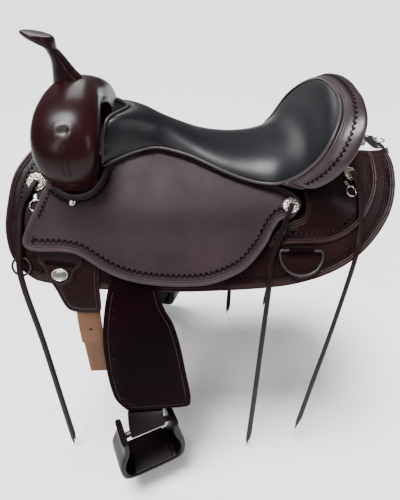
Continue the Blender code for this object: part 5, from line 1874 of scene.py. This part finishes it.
@dataclass(frozen=True)
class Hardware:
    """The silver: conchos, screws, clips, rings, dees, plates and ovals."""

    conchos: tuple[tuple[str, Layer, Flat, float], ...] = (
        ("front_concho", Layer.SKIRT, FRONT_CONCHO, 0.0165),
        ("mid_concho", Layer.FLAP, MID_CONCHO, 0.0145),
        ("rear_concho", Layer.JOCKEY, REAR_CONCHO, 0.0145))
    screw_place: Flat = (-0.226, 0.108)
    screw_half: Flat = (0.0060, 0.0060)
    screw_thickness: float = 0.0030
    oval_place: Flat = (-0.2550, 0.2270)
    oval_half: Flat = (0.0145, 0.0112)
    oval_thickness: float = 0.0018
    clips: tuple[tuple[str, Layer, Flat], ...] = (
        ("front_clip_dee", Layer.SKIRT, (-0.294, 0.108)),
        ("rear_clip_dee", Layer.JOCKEY, (0.262, 0.084)))
    clip_radius: float = 0.0100
    clip_wire: float = 0.0013
    clip_seat: float = 0.0007
    clip_path: tuple[Flat, ...] = ((0.0120, 0.0), (0.0070, 0.0), (0.0035, 0.0004))
    clip_start: float = 70
    clip_turn: float = 150
    clip_steps: int = 8
    clip_width: float = 0.0075
    clip_sheet: float = 0.0007
    clip_sunk: float = 0.0004
    ring_place: Flat = (-0.322, 0.208)
    ring_radius: float = 0.0160
    ring_wire: float = 0.0020
    ring_seat: float = 0.0003
    dee_place: Flat = (0.170, 0.186)
    dee_half: float = 0.036
    dee_depth: float = 0.044
    dee_wire: float = 0.0024
    dee_bulge: float = 1.06
    dee_power: float = 0.8
    dee_steps: int = 48
    bar_steps: int = 8
    ring_steps: int = 60
    keeper_radius: float = 0.0050
    keeper_half: float = 0.022
    keeper_seat: float = 0.0010
    crupper_x: float = 0.343
    crupper_down: float = 0.004
    crupper_half: Flat = (0.012, 0.036)
    crupper_thickness: float = 0.0020
    crupper_seat: float = 0.0014
    crupper_dee_half: float = 0.0120
    crupper_dee_depth: float = 1.5 * 0.0120
    crupper_wire: float = 0.0016
    crupper_dee_aside: float = 0.004
    crupper_screw_inset: float = 0.007
    crupper_screw_half: Flat = (0.0034, 0.0034)
    crupper_screw_thickness: float = 0.0014
    play: float = 0.0005

    def loop(self, name: str, points: Sequence[Flat], wire: float, place: Matrix, finish: str,
             body: str) -> None:
        """Bend a closed wire in a matrix's XY plane and dress it.

        Args:
            name: The piece's name.
            points: The wire's middle line.
            wire: The wire's radius.
            place: Where it hangs.
            finish: The key of its finish.
            body: The body that it moves with, which is the CAD node that it replaces.
        """
        path = even_path([(x, y, 0.0) for x, y in points], wire * 1.1, closed=True)
        piece = Bench.tube(name, path, round_profile(wire, 14), closed=True)
        Bench.settle(piece, place)
        dress(piece, finish, body, body=body, angle=60)

    def ring_points(self, radius: float) -> list[Flat]:
        """Return the points of a ring that hangs from the origin."""
        return [(radius * math.sin(angle), radius * math.cos(angle) - radius)
                for angle in turns(self.ring_steps)]

    def dee_points(self, half: float, depth: float) -> list[Flat]:
        """Return the points of a dee whose straight bar lies on X."""
        bar = [(half * (2 * step / self.bar_steps - 1), 0.0) for step in range(self.bar_steps + 1)]
        angles = [math.pi * step / self.dee_steps for step in range(1, self.dee_steps)]
        return bar + [(half * self.dee_bulge * math.cos(angle),
                       -depth * math.sin(angle) ** self.dee_power) for angle in angles]

    def clip(self, name: str, layer: Layer, place: Flat, side: Side) -> None:
        """Make a small ring and the folded clip that holds it."""
        tag = side.tag
        here = LAYERS.frame(layer, place, self.clip_wire + self.clip_seat, side)
        self.loop(name + "_wire" + tag, self.ring_points(self.clip_radius), self.clip_wire, here,
                  "silver", name + tag)
        reach = self.clip_wire + self.clip_sheet
        low = -self.clip_wire - self.clip_seat + self.clip_sunk
        path = [Vector((0, up, low + lift)) for up, lift in self.clip_path]
        for step in range(self.clip_steps + 1):
            angle = math.radians(self.clip_start + self.clip_turn * step / self.clip_steps)
            path.append(Vector((0, -reach * math.cos(angle + math.pi), reach * math.sin(angle))))
        clip = Bench.tube(name + "_clip" + tag, path,
                          strap_profile(self.clip_width, self.clip_sheet, 0.0002),
                          lambda index: Vector((0, 0, 1)) if index < 4 else path[index].normalized())
        Bench.settle(clip, here)
        dress(clip, "silver", angle=40)

    def rear_dee(self, side: Side) -> None:
        """Make the large dee and its leather keeper."""
        tag = side.tag
        here = LAYERS.frame(Layer.SKIRT, self.dee_place, self.keeper_radius + self.keeper_seat, side)
        self.loop("rear_dee_wire" + tag, self.dee_points(self.dee_half, self.dee_depth),
                  self.dee_wire, here, "steel", "rear_dee" + tag)
        bore, reach, half = self.dee_wire + self.play, self.keeper_radius, self.keeper_half
        stations = ((-half, bore), (-half, reach - 0.001), (-half + 0.001, reach),
                    (half - 0.001, reach), (half, reach - 0.001), (half, bore))
        rings = [[Vector((place, y, z)) for y, z in round_profile(radius, 28)]
                 for place, radius in stations]
        keeper = Bench.skin("rear_dee_loop" + tag, rings, closed=True)
        Bench.settle(keeper, here)
        dress(keeper, "fender", "rear_dee_keeper" + tag, angle=40)

    def crupper(self) -> None:
        """Make the crupper plate, its screws and its dee."""
        ridge = BACK.point(self.crupper_x, self.crupper_down, LAYERS.skirt_top)
        foot = Vector((self.crupper_x, 0, ridge.z + self.crupper_seat))
        thickness = self.crupper_thickness
        PLATE.strike("crupper_plate_silver", self.crupper_half, thickness,
                     Matrix.Translation(foot), "steel", "crupper_plate")
        reach = self.crupper_half[1] - self.crupper_screw_inset
        for index, aside in enumerate((-reach, reach)):
            place = Matrix.Translation(foot + Vector((0, aside, thickness * 0.7)))
            SCREW.strike("crupper_screw_%d" % index, self.crupper_screw_half,
                         self.crupper_screw_thickness, place, "silver")
        rise = Vector((self.crupper_dee_aside, 0, thickness + self.crupper_wire + self.play))
        here = Matrix.Translation(foot + rise) @ Matrix.Rotation(math.pi / 2, 4, "Z")
        self.loop("crupper_dee_wire", self.dee_points(self.crupper_dee_half, self.crupper_dee_depth),
                  self.crupper_wire, here, "silver", "crupper_dee")

    def make(self, side: Side) -> None:
        """Make one side's hardware."""
        tag = side.tag
        for name, layer, place, radius in self.conchos:
            CONCHO.strike(name + "_silver" + tag, (radius, radius), CONCHO_THICKNESS,
                          LAYERS.frame(layer, place, CONCHO_SEAT, side), "engraved", name + tag)
        SCREW.strike("fork_screw_silver" + tag, self.screw_half, self.screw_thickness,
                     LAYERS.frame(Layer.FLAP, self.screw_place, CONCHO_SEAT, side), "silver",
                     "fork_screw" + tag)
        OVAL.strike("rigging_oval" + tag, self.oval_half, self.oval_thickness,
                    LAYERS.frame(Layer.TAB, self.oval_place, 0.0, side), "silver")
        for name, layer, place in self.clips:
            self.clip(name, layer, place, side)
        here = LAYERS.frame(Layer.SKIRT, self.ring_place, self.ring_wire + self.ring_seat, side)
        self.loop("breast_ring_wire" + tag, self.ring_points(self.ring_radius), self.ring_wire, here,
                  "steel", "breast_ring" + tag)
        self.rear_dee(side)


@dataclass(frozen=True)
class TieStraps:
    """The near latigo and the off billet behind the rigging plates."""

    x: float = -0.212
    width: float = 0.042
    leather: float = 0.0035
    drop: float = 0.0028
    top: float = 0.256
    turn: float = 0.286
    slope: float = math.radians(70)
    droop: float = math.radians(6)
    steps: int = 8
    cuts: int = 4
    latigo_length: float = 0.160
    billet_length: float = 0.130
    fold_leather: float = 0.0030
    fold_off: float = 0.0034
    fold_rows: tuple[int, int] = (6, 27)
    fold_end: tuple[Flat, ...] = ((0.0008, -0.0022), (-0.0004, -0.0040))
    fold_hole_row: int = 14
    fold_hole: float = 0.0032
    lower_width: float = 0.86
    lower_aside: float = 0.001
    billet_hole_rows: tuple[int, ...] = (22, 30, 38)
    billet_hole: float = 0.0028

    def path(self, length: float) -> list[Row]:
        """Return a strap's middle line as (out, up) points."""
        height = LAYERS.skirt_top + LAYERS.gap - self.drop - self.leather / 2
        laid = [BACK.point(self.x, self.top + (self.turn - self.top) * step / 3, height)
                for step in range(4)]
        chosen = [(point.y, point.z) for point in laid]
        out, up = chosen[-1]
        slope, part = self.slope, length / self.steps
        for _ in range(self.steps):
            slope = min(math.pi / 2, slope + self.droop)
            out += math.cos(slope) * part
            up -= math.sin(slope) * part
            chosen.append((out, up))
        return smooth_rows(chosen, self.cuts)

    def make(self) -> None:
        """Make both straps."""
        near = self.path(self.latigo_length)
        lower = hung_strap("latigo_strap", near, self.x - self.lower_aside,
                           self.width * self.lower_width, self.leather, Side.NEAR)
        dress(lower, "latigo", "latigo_left")
        fold = [(out + self.fold_off, up) for out, up in near[slice(*self.fold_rows)]]
        last_out, last_up = fold[-1]
        fold += [(last_out + out, last_up + up) for out, up in self.fold_end]
        hole_out, hole_up = fold[self.fold_hole_row]
        upper = hung_strap("latigo_fold", fold, self.x, self.width, self.fold_leather, Side.NEAR)
        punch_hole(upper, Vector((self.x, -hole_out, hole_up)), self.fold_hole)
        dress(upper, "latigo")
        far = self.path(self.billet_length)
        billet = hung_strap("off_billet_strap", far, self.x, self.width, self.leather, Side.OFF)
        for index in self.billet_hole_rows:
            punch_hole(billet, Vector((self.x, *far[index])), self.billet_hole)
        dress(billet, "latigo", "off_billet_right")


TREE_FINISHES = {"tree_fork": "fender", "tree_bar_left": "fender", "tree_bar_right": "fender",
                 "tree_cantle": "fender", "ground_seat": "fender", "horn_core": "steel"}


def main() -> None:
    """Build the dressed saddle."""
    logging.basicConfig(level=logging.INFO, format="%(name)s: %(message)s")
    studio = Studio()
    studio.set_camera()
    for side in Side:
        for route in STRING_ROUTES:
            SaddleStrings().make(route, side)
    hardware = Hardware()
    for side in Side:
        LaidLeathers().make(side)
        hardware.make(side)
        FenderLeg(side).make()
    hardware.crupper()
    Fork().make()
    seat = Seat()
    seat.cushion()
    seat.cantle_back()
    CantleRoll().make()
    TieStraps().make()
    for name, finish in TREE_FINISHES.items():
        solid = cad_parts[name]
        solid.data.materials.clear()
        solid.data.materials.append(material(finish))
    studio.set_floor()
    studio.set_lights()


if __name__ == "__main__":
    main()
